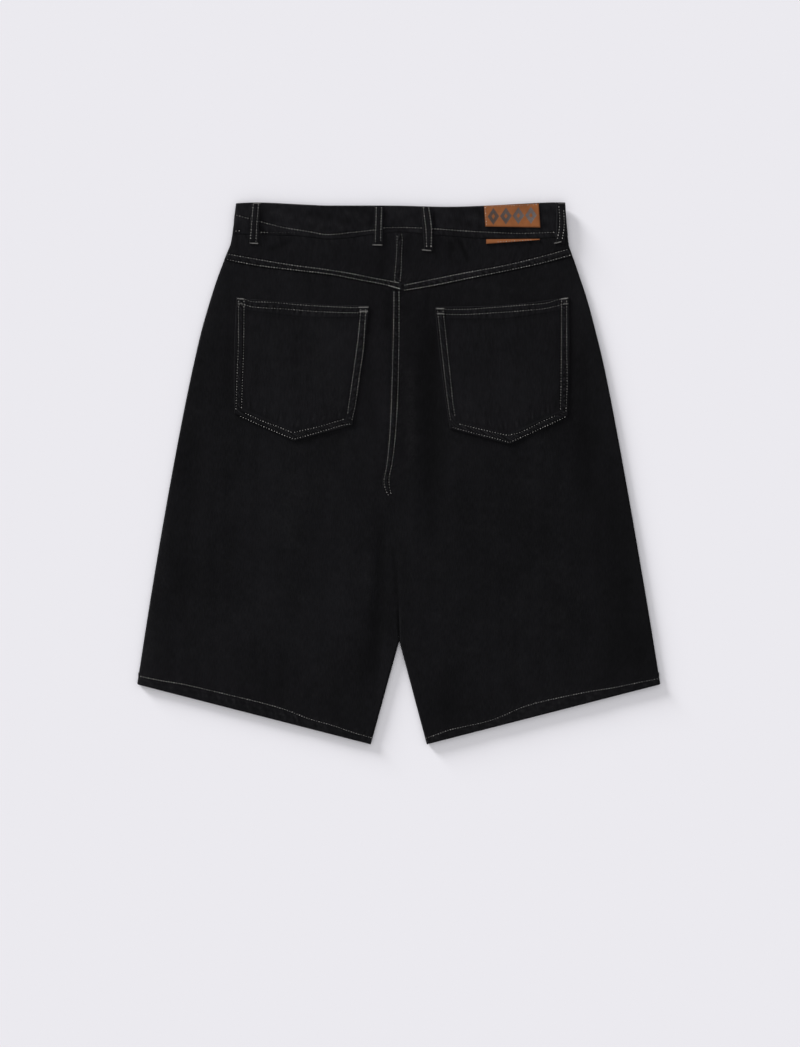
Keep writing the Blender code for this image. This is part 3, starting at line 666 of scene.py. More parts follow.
def pocket_face(key, x, y, from_top, from_side):
    """Height, wear and painted shading of a pocket's outer face."""
    turned = np.maximum(ease((SIDE_HEM - from_side) / 1.6), ease((TOP_HEM - from_top) / 1.8))
    drawn = grooves(POCKET_ROWS[key], x, y)
    rope = ripple(x + y + 0.7 * from_side, 6.6, 2.2) * bell(from_side - 5.8, 2.0)
    gather = ripple(x, 6.4, 0.9) * bell(from_top - 8.5, 3.6)
    above_foot = y - np.interp(x, *np.transpose(sorted(POCKET_FEET[key])))
    low = ripple(x, 6.4, 1.7) ** 3 * bell(above_foot - 19.0, 5.0) * ease((from_side - 12.0) / 4.0)
    height = back_form(x, y) + POCKET_STAND + POCKET_TURNING * turned + drawn
    # painted shade along the rim, against the light its rounded edge catches, and painted shade just
    # past the steps of the turned edges
    worn = shading(x, y) - 0.1 * bell(np.minimum(from_side, from_top), 0.9)
    worn = worn - 0.25 * bell(from_side - 13.5, 2.5) - 0.25 * bell(from_top - 18.0, 2.5)
    # painted shade in the grooves; the puckers paler on their ridges and given painted shade in their
    # dips
    worn = worn + GROOVE_PAINTED_SHADE * drawn + 2.5 * rope + 2.0 * gather + 0.9 * low
    return height + 0.12 * rope + 0.2 * (gather + low), worn


def band_relief(x, y):
    """Relief, wear and painted shading of the waistband's back face."""
    share = (y - band_edge(x)) / (waist_edge(x) - band_edge(x))
    drawn = grooves(BAND_ROWS, x, y) + folds_height(BAND_CREASES, x, y)
    broad = unevenness(x, 2.2 * y, 46.0, 1.1)
    fine = unevenness(x, 1.3 * y, 13.0, 3.6)
    gathers = ripple(x + 0.5 * y, 9.0, 3.3) * bell(share - 0.1, 0.1)
    # edges rubbed paler and cloudy fading; the gathers paler on their ridges and given painted shade
    # in their dips; painted shade in the grooves and creases
    worn = 0.3 * bell(share - 1.0, 0.03) + 0.25 * bell(share, 0.03)
    worn = worn + 0.3 * broad + 0.34 * fine + 0.5 * gathers + GROOVE_PAINTED_SHADE * drawn
    return drawn + 0.16 * broad + 0.07 * fine + 0.18 * gathers, worn


def band_under(x, y):
    """The band's front face, whose lower layer rises behind the end of the lap."""
    rise = (BAND_CLOTH + SEAM_GAP) * ease((LAP_END + LAP_RAMP - x) / LAP_RAMP)
    return BAND_UNDER + np.where(x > LAP_END, rise, 0.0)


def loop_face(loop, x, y):
    """The outer face of a back loop, arched over the band and held down at its foot.

    It lies on the band, whose sides are rounded, and below it on the yoke.
    """
    on_band = ease((y - band_edge(x) + 4.0) / 5.0)
    seat = between(back_form(x, y) + 0.15, band_height(x), on_band)
    reach = np.abs(side_edge(x, y))
    over = np.maximum(np.abs(x) - reach * FLAT_SHARE, 0.0)
    round_share = np.minimum(over / (reach * (1.0 - FLAT_SHARE)), 0.96)
    seat = seat - (BAND_TOP - BAND_UNDER) / 2 * (1.0 - np.sqrt(1.0 - round_share**2))
    foot, crown = loop_ends(loop)
    share = np.clip((y - foot) / (crown - foot), 0.0, 1.0)
    arch = LOOP_SLACK * np.sin(math.pi * share) ** 2
    pressed = LOOP_PRESS * ease((foot + 3.4 - y) / 2.6)
    return seat + SEAM_GAP + LOOP_CLOTH + arch - pressed


def patch_face(x, y):
    return band_height(x) + SEAM_GAP + PATCH_THICK


def tail_face(x, y):
    return back_form(x, y) + SEAM_GAP + PATCH_THICK


def front_lift(key, x, y):
    """How far the creases lift a front panel off the floor."""
    side = SIDE_OF[key]
    from_seam = np.abs(x - inner_edge(front_seam, side, y))
    from_edge = np.minimum(np.abs(side_edge(side, y) - x), from_seam)
    calm = ease(from_edge / 22.0) * ease((y - hem_height(x) - 18.0) / 25.0)
    calm = calm * ease((front_band_edge(x) - y) / 34.0)
    return calm * (folds_height(FRONT_CREASES, x, y) + 0.25 + 0.25 * unevenness(x, y, 66.0, 5.0))


def front_face(key, x, y):
    """Height, wear and painted shading of a front panel's outer face, which looks down."""
    groove = bell(y - hem_row[key](x), GROOVE_WIDTH) * GROOVE_DEPTH
    lift = front_lift(key, x, y)
    worn = bell(y - hem_height(x), 1.6) * 0.7 + 0.2 * unevenness(x, y, 60.0, 3.1)
    # the hem's fold rubbed paler; painted shade where the creases lift the cloth off the floor
    return front_form(x, y) + lift + groove, worn + 0.12 - 0.6 * lift


def height_on(face, key):
    """Only the height of a face that gives height, and wear with painted shading."""
    return lambda x, y: face(key, x, y)[0]


# ---------------------------------------------------------------- materials


class Value:
    """A shader value that can be used in sums like a number."""

    def __init__(self, finish, socket):
        self.finish = finish
        self.socket = socket

    def maths(self, operation, *others):
        node = self.finish.node("ShaderNodeMath", {"operation": operation})
        for socket, value in zip(node.inputs, (self, *others)):
            self.finish.join(value, socket)
        return Value(self.finish, node.outputs["Value"])

    def __add__(self, other):
        return self.maths("ADD", other)

    def __sub__(self, other):
        return self.maths("SUBTRACT", other)

    def __rsub__(self, other):
        return (self * -1.0) + other

    def __mul__(self, other):
        return self.maths("MULTIPLY", other)

    def __truediv__(self, other):
        return self.maths("DIVIDE", other)

    __radd__ = __add__
    __rmul__ = __mul__

    def above(self, low, high):
        """0 below low, 1 above high, smooth between them."""
        settings = {"interpolation_type": "SMOOTHSTEP"}
        inputs = {"Value": self, "From Min": low, "From Max": high}
        node = self.finish.node("ShaderNodeMapRange", settings, **inputs)
        return Value(self.finish, node.outputs["Result"])


class Finish:
    """One material while its nodes are being joined up."""

    def __init__(self, name, **constants):
        self.material = bpy.data.materials.new(name)
        self.material.use_nodes = True
        self.tree = self.material.node_tree
        self.shader = self.tree.nodes["Principled BSDF"]
        for key, value in constants.items():
            self.shader.inputs[key.replace("_", " ")].default_value = value

    def join(self, value, socket):
        if isinstance(value, Value):
            value = value.socket
        if isinstance(value, bpy.types.NodeSocket):
            self.tree.links.new(value, socket)
        else:
            socket.default_value = value

    def node(self, kind, settings=None, **inputs):
        made = self.tree.nodes.new(kind)
        for key, value in (settings or {}).items():
            setattr(made, key, value)
        for key, value in inputs.items():
            self.join(value, made.inputs[key])
        return made

    def place(self):
        """The point on the piece, in metres."""
        return self.node("ShaderNodeTexCoord").outputs["Object"]

    def axes(self):
        parts = self.node("ShaderNodeSeparateXYZ", Vector=self.place())
        return [Value(self, parts.outputs[key]) for key in "XYZ"]

    def attribute(self, name):
        made = self.node("ShaderNodeAttribute", {"attribute_name": name})
        return Value(self, made.outputs["Fac"])

    def noise(self, scale, detail=2.0, stretch=(1.0, 1.0, 1.0), offset=0.0):
        mapping = self.node("ShaderNodeMapping", Vector=self.place(), Scale=stretch)
        mapping.inputs["Location"].default_value = (offset, offset * 0.7, offset * 1.3)
        inputs = {"Vector": mapping.outputs["Vector"], "Scale": scale, "Detail": detail}
        return Value(self, self.node("ShaderNodeTexNoise", **inputs).outputs["Fac"])

    def mix(self, low, high, share):
        """A colour between two colours."""
        node = self.node("ShaderNodeMix", {"data_type": "RGBA"})
        sockets = {socket.identifier: socket for socket in (*node.inputs, *node.outputs)}
        for key, value in (("Factor_Float", share), ("A_Color", low), ("B_Color", high)):
            self.join(value, sockets[key])
        return sockets["Result_Color"]

    def finish(self, colour, roughness, height, strength, depth):
        """Joins the colour, the roughness and a height in metres to the shader."""
        inputs = {"Height": height, "Strength": strength, "Distance": depth}
        bump = self.node("ShaderNodeBump", **inputs)
        self.join(colour, self.shader.inputs["Base Color"])
        self.join(roughness, self.shader.inputs["Roughness"])
        self.join(bump.outputs["Normal"], self.shader.inputs["Normal"])
        return self.material


def tinted(colour, share=1.0):
    return (*(part * share for part in colour), 1.0)


TWILL_PITCH = 0.00105
TWILL_SLANT = 0.62
PLY_PITCH = 0.0005


def denim(name, shade, seed):
    """Washed black twill: slanting ribs, uneven yarns, cloudy fading, grey where rubbed, with painted
    shade and painted light from the piece's attribute.
    """
    colours = bpy.context.scene.shorts_colours
    constants = {"Specular_IOR_Level": 0.03, "Sheen_Weight": 0.02, "Sheen_Roughness": 0.6}
    cloth = Finish(name, **constants)
    x, y, z = cloth.axes()
    slant = (x * TWILL_SLANT + y + z * 0.5) * (math.tau / TWILL_PITCH)
    wander = cloth.noise(220.0, 2.0, offset=seed)
    rib = (slant + wander * 5.0).maths("SINE")
    yarn = cloth.noise(900.0, 2.0, (1.0, 0.16, 0.4), seed)
    weft = cloth.noise(1400.0, 1.0, (0.2, 1.0, 0.4), seed + 3.0)
    cloud = cloth.noise(14.0, 4.0, (1.0, 0.55, 1.0), seed + 1.0)
    streak = cloth.noise(80.0, 3.0, (1.0, 0.22, 1.0), seed + 2.0)
    tone = (cloud * 0.34 + streak * 0.2 + yarn * 0.46).above(0.3, 0.7)
    base = cloth.mix(tinted(colours.denim, 0.6 * shade), tinted(colours.denim, 1.45 * shade), tone)
    fleck = (weft + rib * 0.09).above(0.64, 0.8) * 0.12
    base = cloth.mix(base, tinted(colours.worn, 0.5), fleck)
    wear = cloth.attribute("worn")
    # painted shade: darker where the attribute is below 0
    painted_hollow_shade = (wear * -1.0).maths("MAXIMUM", 0.0).maths("MINIMUM", 1.0)
    base = cloth.mix(base, tinted(colours.denim, 0.3), painted_hollow_shade * 0.75)
    # grey where rubbed, and painted light where the attribute marks lit ridges and the left edge
    rubbed = cloth.noise(420.0, 3.0, offset=seed + 5.0).above(0.36, 0.64)
    worn = wear.maths("MAXIMUM", 0.0) * (rubbed * 0.7 + 0.3)
    base = cloth.mix(base, tinted(colours.worn), worn.maths("MINIMUM", 1.0) * 0.5)
    relief = rib * 0.35 + yarn * 0.9 + weft * 0.5
    return cloth.finish(base, 0.84 + streak * 0.12, relief, 0.5, 0.00022)


def topstitch_thread(name):
    """Twisted topstitching thread, greyed and uneven along its rows."""
    colours = bpy.context.scene.shorts_colours
    thread = Finish(name, Specular_IOR_Level=0.15, Sheen_Weight=0.05)
    x, y, z = thread.axes()
    ply = ((x + y * 1.1 + z) * (math.tau / PLY_PITCH)).maths("SINE")
    dirt = thread.noise(240.0, 2.0).above(0.3, 0.72)
    patchy = thread.noise(45.0, 2.0, offset=4.0).above(0.3, 0.7)
    share = thread.attribute("pale") * (dirt * 0.55 + 0.45) * (patchy * 0.4 + 0.6)
    colour = thread.mix(tinted(colours.thread_dark), tinted(colours.thread), share)
    return thread.finish(colour, 0.62 + dirt * 0.15, ply, 0.5, 0.0001)


LOZENGE_PITCH = 15.0
LOZENGE_HALF = (7.3, 10.6)
PRINT_MIDDLE = Edge(135.9, 308.7)
PRINT_HALF = 29.8
PRINT_SLOPE = 0.03


def tan_leather(name):
    """Tan leather with a rubbed print of four plain lozenges."""
    colours = bpy.context.scene.shorts_colours
    hide = Finish(name, Specular_IOR_Level=0.12)
    x, y, _ = hide.axes()
    along = x / MM - PRINT_MIDDLE.x
    across = (y / MM - PRINT_MIDDLE.y) - along * PRINT_SLOPE
    cell = (along + LOZENGE_PITCH * 10.0).maths("MODULO", LOZENGE_PITCH) - LOZENGE_PITCH / 2
    reach = cell.maths("ABSOLUTE") / LOZENGE_HALF[0] + across.maths("ABSOLUTE") / LOZENGE_HALF[1]
    inside = 1.0 - along.maths("ABSOLUTE").above(PRINT_HALF - 0.3, PRINT_HALF + 0.3)
    lozenge = (1.0 - reach.above(0.9, 1.02)) * inside
    core = 1.0 - reach.above(0.26, 0.34)
    printed = lozenge - core * lozenge
    wear = hide.noise(330.0, 4.0, offset=2.0).above(0.36, 0.6)
    mottle = hide.noise(60.0, 5.0).above(0.25, 0.75)
    grain = hide.noise(1300.0, 3.0, offset=6.0)
    tan = hide.mix(tinted(colours.leather, 0.78), tinted(colours.leather, 1.18), mottle)
    # on the patch this attribute holds only the leather's darker edges
    edge = hide.attribute("worn")
    tan = hide.mix(tan, tinted(colours.leather, 0.42), edge * 0.7)
    silver = mottle * wear * 0.3 + (along / PRINT_HALF).above(-0.8, 1.2) * 0.55
    ink = hide.mix(tinted(colours.ink), tinted(colours.ink_rubbed), silver)
    colour = hide.mix(tan, ink, printed * (wear * 0.2 + 0.76))
    relief = grain * 0.7 - printed * 0.8 + mottle * 0.4
    return hide.finish(colour, 0.5 + grain * 0.25, relief, 0.5, 0.00018)


def aged_brass(name):
    """Aged brass with a brushed face, darker in uneven clouds."""
    colours = bpy.context.scene.shorts_colours
    metal = Finish(name, Metallic=1.0)
    cloud = metal.noise(900.0, 4.0).above(0.3, 0.7)
    scratch = metal.noise(2600.0, 2.0, (1.0, 0.1, 1.0))
    colour = metal.mix(tinted(colours.brass, 0.45), tinted(colours.brass), cloud)
    return metal.finish(colour, 0.3 + cloud * 0.22, scratch + cloud, 0.3, 0.00008)


FINISHES = {
    "topstitch": topstitch_thread,
    "tan_leather": tan_leather,
    "aged_brass": aged_brass,
    # the two legs are one cloth: the left's paler shade and the right's darker shade are painted light
    # and painted shade of the low lamp on the left
    "denim_left": partial(denim, shade=1.07, seed=0.0),
    "denim_right": partial(denim, shade=0.96, seed=11.0),
    "denim_yoke": partial(denim, shade=1.14, seed=23.0),
    "denim_pocket": partial(denim, shade=1.14, seed=31.0),
    "denim_band": partial(denim, shade=1.4, seed=43.0),
    "denim_loop": partial(denim, shade=1.15, seed=57.0),
    "denim_front": partial(denim, shade=1.0, seed=71.0),
}

# ---------------------------------------------------------------- making the pieces


def write_mesh(name, shape):
    mesh = bpy.data.meshes.new(name)
    shape.to_mesh(mesh)
    shape.free()
    mesh.shade_smooth()
    return mesh


def add_object(name, data):
    made = bpy.data.objects.new(name, data)
    bpy.context.scene.collection.objects.link(made)
    return made


def add_piece(name, mesh, finish, slot, *nodes):
    """Puts a finished mesh on the frame in place of its CAD nodes."""
    mesh.materials.append(bpy.data.materials.get(finish) or FINISHES[finish](finish))
    piece = add_object(name, mesh)
    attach(piece, "root")
    if nodes:
        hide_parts(*nodes)
    return piece


def add_cloth(name, grid, thickness, face, finish, slot, node):
    """A shell of cloth whose outer face passes through a grid of points, rows down the columns.

    The grid gives x, y, height, and wear with painted shading. The face is 1 where it looks up and -1
    where it looks down.
    """
    x, y, z, worn = np.broadcast_arrays(*grid)
    rows, columns = x.shape
    shape = bmesh.new()
    bmesh.ops.create_grid(shape, x_segments=columns - 1, y_segments=rows - 1, size=0.5)
    # this attribute holds wear together with painted shade below 0 and painted light above 0
    wear = shape.verts.layers.float.new("worn")
    for vert in shape.verts:
        column = round((vert.co.x + 0.5) * (columns - 1))
        row = round((0.5 - vert.co.y) * (rows - 1))
        vert.co = (x[row, column] * MM, y[row, column] * MM, z[row, column] * MM)
        vert[wear] = worn[row, column]
    shape.normal_update()
    shape.faces.ensure_lookup_table()
    middle = shape.faces[(rows - 2 - rows // 4) * (columns - 1) + columns // 2]
    if middle.normal.z * face < 0.0:
        bmesh.ops.reverse_faces(shape, faces=shape.faces)
        shape.normal_update()
    bmesh.ops.solidify(shape, geom=shape.faces[:], thickness=thickness * MM)
    mesh = write_mesh(name, shape)
    mesh.set_sharp_from_angle(angle=SHARP)
    return add_piece(name, mesh, finish, slot, node)


ARC_STEPS = 8
FINE_STEP = 0.62
FINE_COLUMNS = 20


def edge_turn(radius, curl):
    """Inset, drop and lean of a rounded edge, from the edge inwards: one row for each radius."""
    turn = np.maximum(curl, 0.02) * math.pi / 2
    bend = radius * math.pi / 2 / turn
    lean = turn * (1.0 - np.arange(ARC_STEPS + 1) / ARC_STEPS)
    return bend * (np.sin(turn) - np.sin(lean)), bend * (1.0 - np.cos(lean)), lean


def edge_insets(radius, steps):
    """Insets and drops of a quarter-round rim, from the edge inwards, without its inner end."""
    lean = math.pi / 2 * (1.0 - np.arange(steps) / steps)
    return radius * (1.0 - np.sin(lean)), radius * (1.0 - np.cos(lean))


def spread_out(length, fine_low, fine_high, fine_step, coarse_step):
    """Distances from 0 to length, close together near both ends."""
    low = np.arange(0.0, fine_low, fine_step)
    high = length - np.arange(0.0, fine_high, fine_step)[::-1]
    count = max(int((high[0] - fine_low) / coarse_step), 1)
    middle = fine_low + (high[0] - fine_low) * np.arange(count) / count
    return np.concatenate((low, middle, high))


def rimmed(flat, length, radius, steps):
    """Distances across a piece with rounded rims, and how far each drops."""
    insets, drops = edge_insets(radius, steps)
    places = np.concatenate((insets, flat, length - insets[::-1]))
    return places, np.concatenate((drops, np.zeros(len(flat)), drops[::-1]))


def panel_rows(length, fine_from, fine_step, coarse_step):
    """Rows of a panel as (share of its length, distance past the hem line)."""
    coarse = int((length - fine_from) / coarse_step)
    rows = [((length - fine_from) * k / coarse / length, 0.0) for k in range(coarse)]
    fine = int(fine_from / fine_step)
    rows += [(1.0 - fine_from * (1.0 - k / fine) / length, 0.0) for k in range(fine + 1)]
    rows += [(1.0, math.pi * HEM_RADIUS * k / 7) for k in range(1, 8)]
    rows += [(1.0, math.pi * HEM_RADIUS + HEM_TURNING * k / 4) for k in range(1, 5)]
    return rows


def fold_radius(x, y):
    """Radius of the fold that joins the back and the front at a panel's edge."""
    return (back_form(x, y) - front_form(x, y) - SEAM_GAP) / 2


def leg_stations(side, y_in, y_out, seam, columns, folded):
    """Insets, drops and leans across a panel, from its inner to its outer edge."""
    x_in = inner_edge(seam, side, y_in)
    x_out = side_edge(side, y_out)
    width = np.abs(x_out - x_in)
    whole = np.ones_like(y_in)
    first = edge_turn(fold_radius(x_in, y_in), ease((PRESSED_Y - y_in) / (PRESSED_Y - NOTCH_Y)))
    if folded:
        seam_fold = edge_turn(SEAM_FOLD * whole, whole)
        opened = ease((-8.0 - y_in) / 26.0)
        first = [between(a, b, opened) for a, b in zip(seam_fold, first)]
    last = [part[:, ::-1] for part in edge_turn(fold_radius(x_out, y_out), whole)]
    fine = first[0][:, -1:] + FINE_STEP * np.arange(1, FINE_COLUMNS + 1)
    main = between(fine[:, -1:], width - last[0][:, :1], np.arange(1, columns) / columns)
    flat = np.zeros((len(y_in), FINE_COLUMNS + columns - 1))
    inset = np.hstack((first[0], fine, main, width - last[0]))
    drop = np.hstack((first[1], flat, last[1]))
    return x_in, width, inset, drop, np.hstack((-first[2], flat, last[2]))


Cut = namedtuple("Cut", "face seam top_edge gap rows columns surface")
BACK_ROWS = panel_rows(BACK_LENGTH, 26.0, 1.0, 2.3)
BACK_CUT = Cut(1, back_seam, yoke_edge, SEAM_GAP / 2, BACK_ROWS, 112, panel_face)
FRONT_ROWS = panel_rows(FRONT_LENGTH, 18.0, 1.5, 6.0)
FRONT_CUT = Cut(-1, front_seam, front_band_edge, SEAM_GAP, FRONT_ROWS, 60, front_face)


def leg_panel(key, cut):
    """A leg's back or front, from its top edge to the hem, round the fold and up inside."""
    side = SIDE_OF[key]
    outer_x = outer_end(side, cut.top_edge)
    top_inner = float(cut.top_edge(cut.seam(cut.top_edge(0.0)))) - cut.gap
    top_outer = float(cut.top_edge(outer_x)) - cut.gap
    share, wrap = (np.array(column)[:, None] for column in zip(*cut.rows))
    y_in = between(top_inner, HEM_INNER.y + HEM_RADIUS, share)
    y_out = between(top_outer, HEM_OUTER.y + HEM_RADIUS, share)
    folded = cut is BACK_CUT and key == "right"
    x_in, width, inset, drop, lean = leg_stations(
        side, y_in, y_out, cut.seam, cut.columns, folded
    )
    across = inset / width
    x = x_in + side * inset
    chord = between(top_inner, top_outer, across)
    along = between(float(inner_edge(cut.seam, side, np.array(top_inner))), outer_x, across)
    bow = (cut.top_edge(along) - cut.gap - chord) * (1.0 - share) ** 2
    y = between(y_in, y_out, across) + bow
    z, worn = cut.surface(key, x, y)
    half_turn = math.pi * HEM_RADIUS
    turned = wrap < half_turn
    angle = wrap / HEM_RADIUS
    out = np.where(turned, HEM_RADIUS * np.sin(angle), half_turn - wrap)
    under = np.where(turned, HEM_RADIUS * (1.0 - np.cos(angle)), 2.0 * HEM_RADIUS)
    x = x - under * side * np.sin(lean)
    return x, y - out, z - cut.face * (drop + under * np.cos(lean)), worn


# ---------------------------------------------------------------- stitches

STITCH_SIDES = 6
STITCH_RINGS = 5
STITCH_SAG = 0.34
STITCH_FULLER = 0.25  # how much plumper a stitch is towards its ends
STITCH_SHARE = 0.36  # of the pitch
STITCH_LIFT = 0.12
FAINT_THREAD = 0.5
UNDER_SINK = 0.1  # the floor presses the stitches of the underside into the cloth
UNDER_THREAD = 0.6
UNDER_SHARE = 0.5
TACK_PITCH = 0.48
TACK_LIFT = {1: 0.36, -1: 0.12}
WOBBLE = 2.399  # turn from one stitch to the next that makes an uneven row
Stitch = namedtuple("Stitch", "place along up length thick pale")


def sew(name, stitches):
    """A piece of stitches: plump beads of thread whose ends dip into the cloth."""
    shape = bmesh.new()
    bmesh.ops.create_uvsphere(shape, u_segments=STITCH_SIDES, v_segments=STITCH_RINGS, radius=0.5)
    bead = write_mesh("bead", shape)
    shape = bmesh.new()
    pale = shape.verts.layers.float.new("pale")
    for _ in stitches:
        shape.from_mesh(bead)
    verts = iter(shape.verts)
    for stitch in stitches:
        along = Vector(stitch.along).normalized()
        up = Vector(stitch.up)
        up = (up - along * up.dot(along)).normalized()
        aside = up.cross(along)
        place = Vector(stitch.place)
        for vert in islice(verts, len(bead.vertices)):
            x, y, z = vert.co
            end = (2.0 * z) ** 2
            thick = stitch.thick * (1.0 + STITCH_FULLER * end)
            spot = place + along * (z * stitch.length) + aside * (x * thick)
            vert.co = (spot + up * (y * thick - STITCH_SAG * end)) * MM
            vert[pale] = stitch.pale
    bpy.data.meshes.remove(bead)
    return add_piece(name, write_mesh(name, shape), "topstitch", "thread")


def row_stitches(row, surface, pitch, pale, face=1, seed=0.0, **how):
    """Stitches an even pitch apart along a row that lies on a surface."""
    if face > 0:
        thick = how.get("thick", bpy.context.scene.shorts_sizes.thread)
        share = how.get("share", STITCH_SHARE)
        lift = how.get("lift", STITCH_LIFT)
    else:
        thick, share, lift = UNDER_THREAD, UNDER_SHARE, UNDER_SINK
    line = dense(row, pitch)
    points = np.column_stack((line, surface(line[:, 0], line[:, 1])))
    made = []
    for k, (a, b) in enumerate(zip(points, points[1:])):
        wobble = math.sin(k * WOBBLE + seed * 3.0)
        place = (a + b) / 2 + (0.0, 0.0, lift + 0.03 * wobble)
        along = b - a
        along = along + np.array((-along[1], along[0], 0.0)) * 0.05 * wobble
        length = np.linalg.norm(b - a) * (share + 0.05 * wobble)
        shade = 0.9 + 0.2 * math.sin(k * 0.61 + seed) + 0.32 * wobble
        shade = pale * (shade + 0.16 * math.sin(k * 0.13 + 2.0 * seed))
        made.append(Stitch(place, along, (0.0, 0.0, face), length, thick, shade))
    return made


def all_rows(rows, surface, pitch, pale, seed=None, **how):
    """The stitches of several rows. The seed names the column that makes each row uneven."""
    made = []
    for row in rows:
        start = getattr(row[0], seed) if seed else 0.0
        made += row_stitches(row, surface, pitch, pale, seed=start, **how)
    return made


def tack_stitches(tack, surface, face=1):
    """A bartack: short stitches side by side across its length, built up into a bar."""
    turn = math.radians(tack.turn)
    along = np.array((math.cos(turn), math.sin(turn), 0.0))
    aside = np.array((-along[1], along[0], 0.0))
    count = int(tack.length / TACK_PITCH)
    middle = np.array((tack.x, tack.y, 0.0))
    made = []
    for k in range(count + 1):
        wobble = math.sin(k * WOBBLE + tack.x)
        place = middle + along * (k / count - 0.5) * tack.length + aside * 0.16 * wobble
        place[2] = float(surface(place[:1], place[1:2])[0]) + TACK_LIFT[face]
        lean = aside + along * (0.22 if k % 2 else -0.22)
        end = min(k, count - k) / count
        shade = tack.pale * (0.55 + 0.45 * min(end * 6.0, 1.0) + 0.2 * wobble)
        made.append(Stitch(place, lean, (0.0, 0.0, face), 1.6 + 0.2 * wobble, 0.54, shade))
    return made


# ---------------------------------------------------------------- sizes and colours


def millimetres(name, description, default, low, high):
    return FloatProperty(
        name=name, description=f"{description}, in mm", default=default, min=low, max=high
    )


def colour_of(name, description, default):
    return FloatVectorProperty(
        name=name, description=description, default=default, subtype="COLOR", size=3, min=0.0,
        max=1.0,
    )


def angle(name, description, degrees, low, high):
    return FloatProperty(
        name=name, description=description, default=math.radians(degrees), min=low, max=high,
        subtype="ANGLE", unit="ROTATION",
    )


class ShortsSizes(bpy.types.PropertyGroup):
    """Sizes of the sewing, in millimetres."""

    seam_pitch: millimetres(
        "Seam stitch", "Pitch of the stitches on seams and pockets", 3.3, 1.5, 6.0
    )
    band_pitch: millimetres(
        "Waistband stitch", "Pitch of the stitches on the waistband", 3.4, 1.5, 6.0
    )
    hem_pitch: millimetres("Hem stitch", "Pitch of the stitches on the hems", 3.1, 1.5, 6.0)
    thread: millimetres("Thread", "Thickness of the topstitching thread", 0.78, 0.2, 1.2)


class ShortsColours(bpy.types.PropertyGroup):
    """Colours of the cloth, thread, leather and metal."""

    denim: colour_of("Denim", "Washed black cloth", (0.0043, 0.0042, 0.005))
    # grey of rubbed cloth, also used for painted light on ridges and along the left edge
    worn: colour_of(
        "Worn denim", "Cloth rubbed grey along edges and seams", (0.02, 0.0196, 0.021)
    )
    thread: colour_of("Thread", "Cleanest part of the topstitching", (0.65, 0.63, 0.607))
    thread_dark: colour_of(
        "Greyed thread", "Dirtiest part of the topstitching", (0.03, 0.029, 0.029)
    )
    leather: colour_of("Leather", "Tan leather of the patch", (0.225, 0.078, 0.026))
    ink: colour_of("Print", "Dark print on the patch", (0.032, 0.032, 0.032))
    ink_rubbed: colour_of("Rubbed print", "Print where it is rubbed grey", (0.15, 0.144, 0.15))
    brass: colour_of("Brass", "Aged brass of the button", (0.3, 0.24, 0.16))


class ShortsStudio(bpy.types.PropertyGroup):
    """The floor, light and camera."""

    floor: colour_of("Floor", "Pale floor", (0.8, 0.79, 0.83))
    sky: FloatProperty(
        name="Even light", description="Strength of the light from all round", default=0.722,
        min=0.0, max=5.0,
    )
    sun: FloatProperty(
        name="Low light", description="Strength of the soft light from the upper left",
        default=4.62, min=0.0, max=20.0,
    )
    sun_height: angle(
        "Low light's height", "How far that light stands over the floor", 12.5, 0.0, math.pi / 2
    )
    sun_turn: angle(
        "Low light's turn", "Compass angle from +Y towards -X", 43.0, -math.pi, math.pi
    )
    sun_width: angle("Low light's width", "Angle across that light", 17.0, 0.0, math.pi)
    distance: FloatProperty(
        name="Camera height", description="Camera over the floor", subtype="DISTANCE",
        unit="LENGTH", default=2.9715, min=0.5, max=10.0,
    )
    lens: millimetres("Lens", "Focal length", 85.0, 10.0, 300.0)


# ---------------------------------------------------------------- operators

FLOOR_HALF = 6.0
FLOOR_LEVEL = -0.3 * MM
SKY_LOW = 0.6  # the even light's strength at the horizon, and overhead, for an average of 1
SKY_HIGH = 1.2
CAMERA_PLACE = (1.5 * MM, -60.0 * MM)


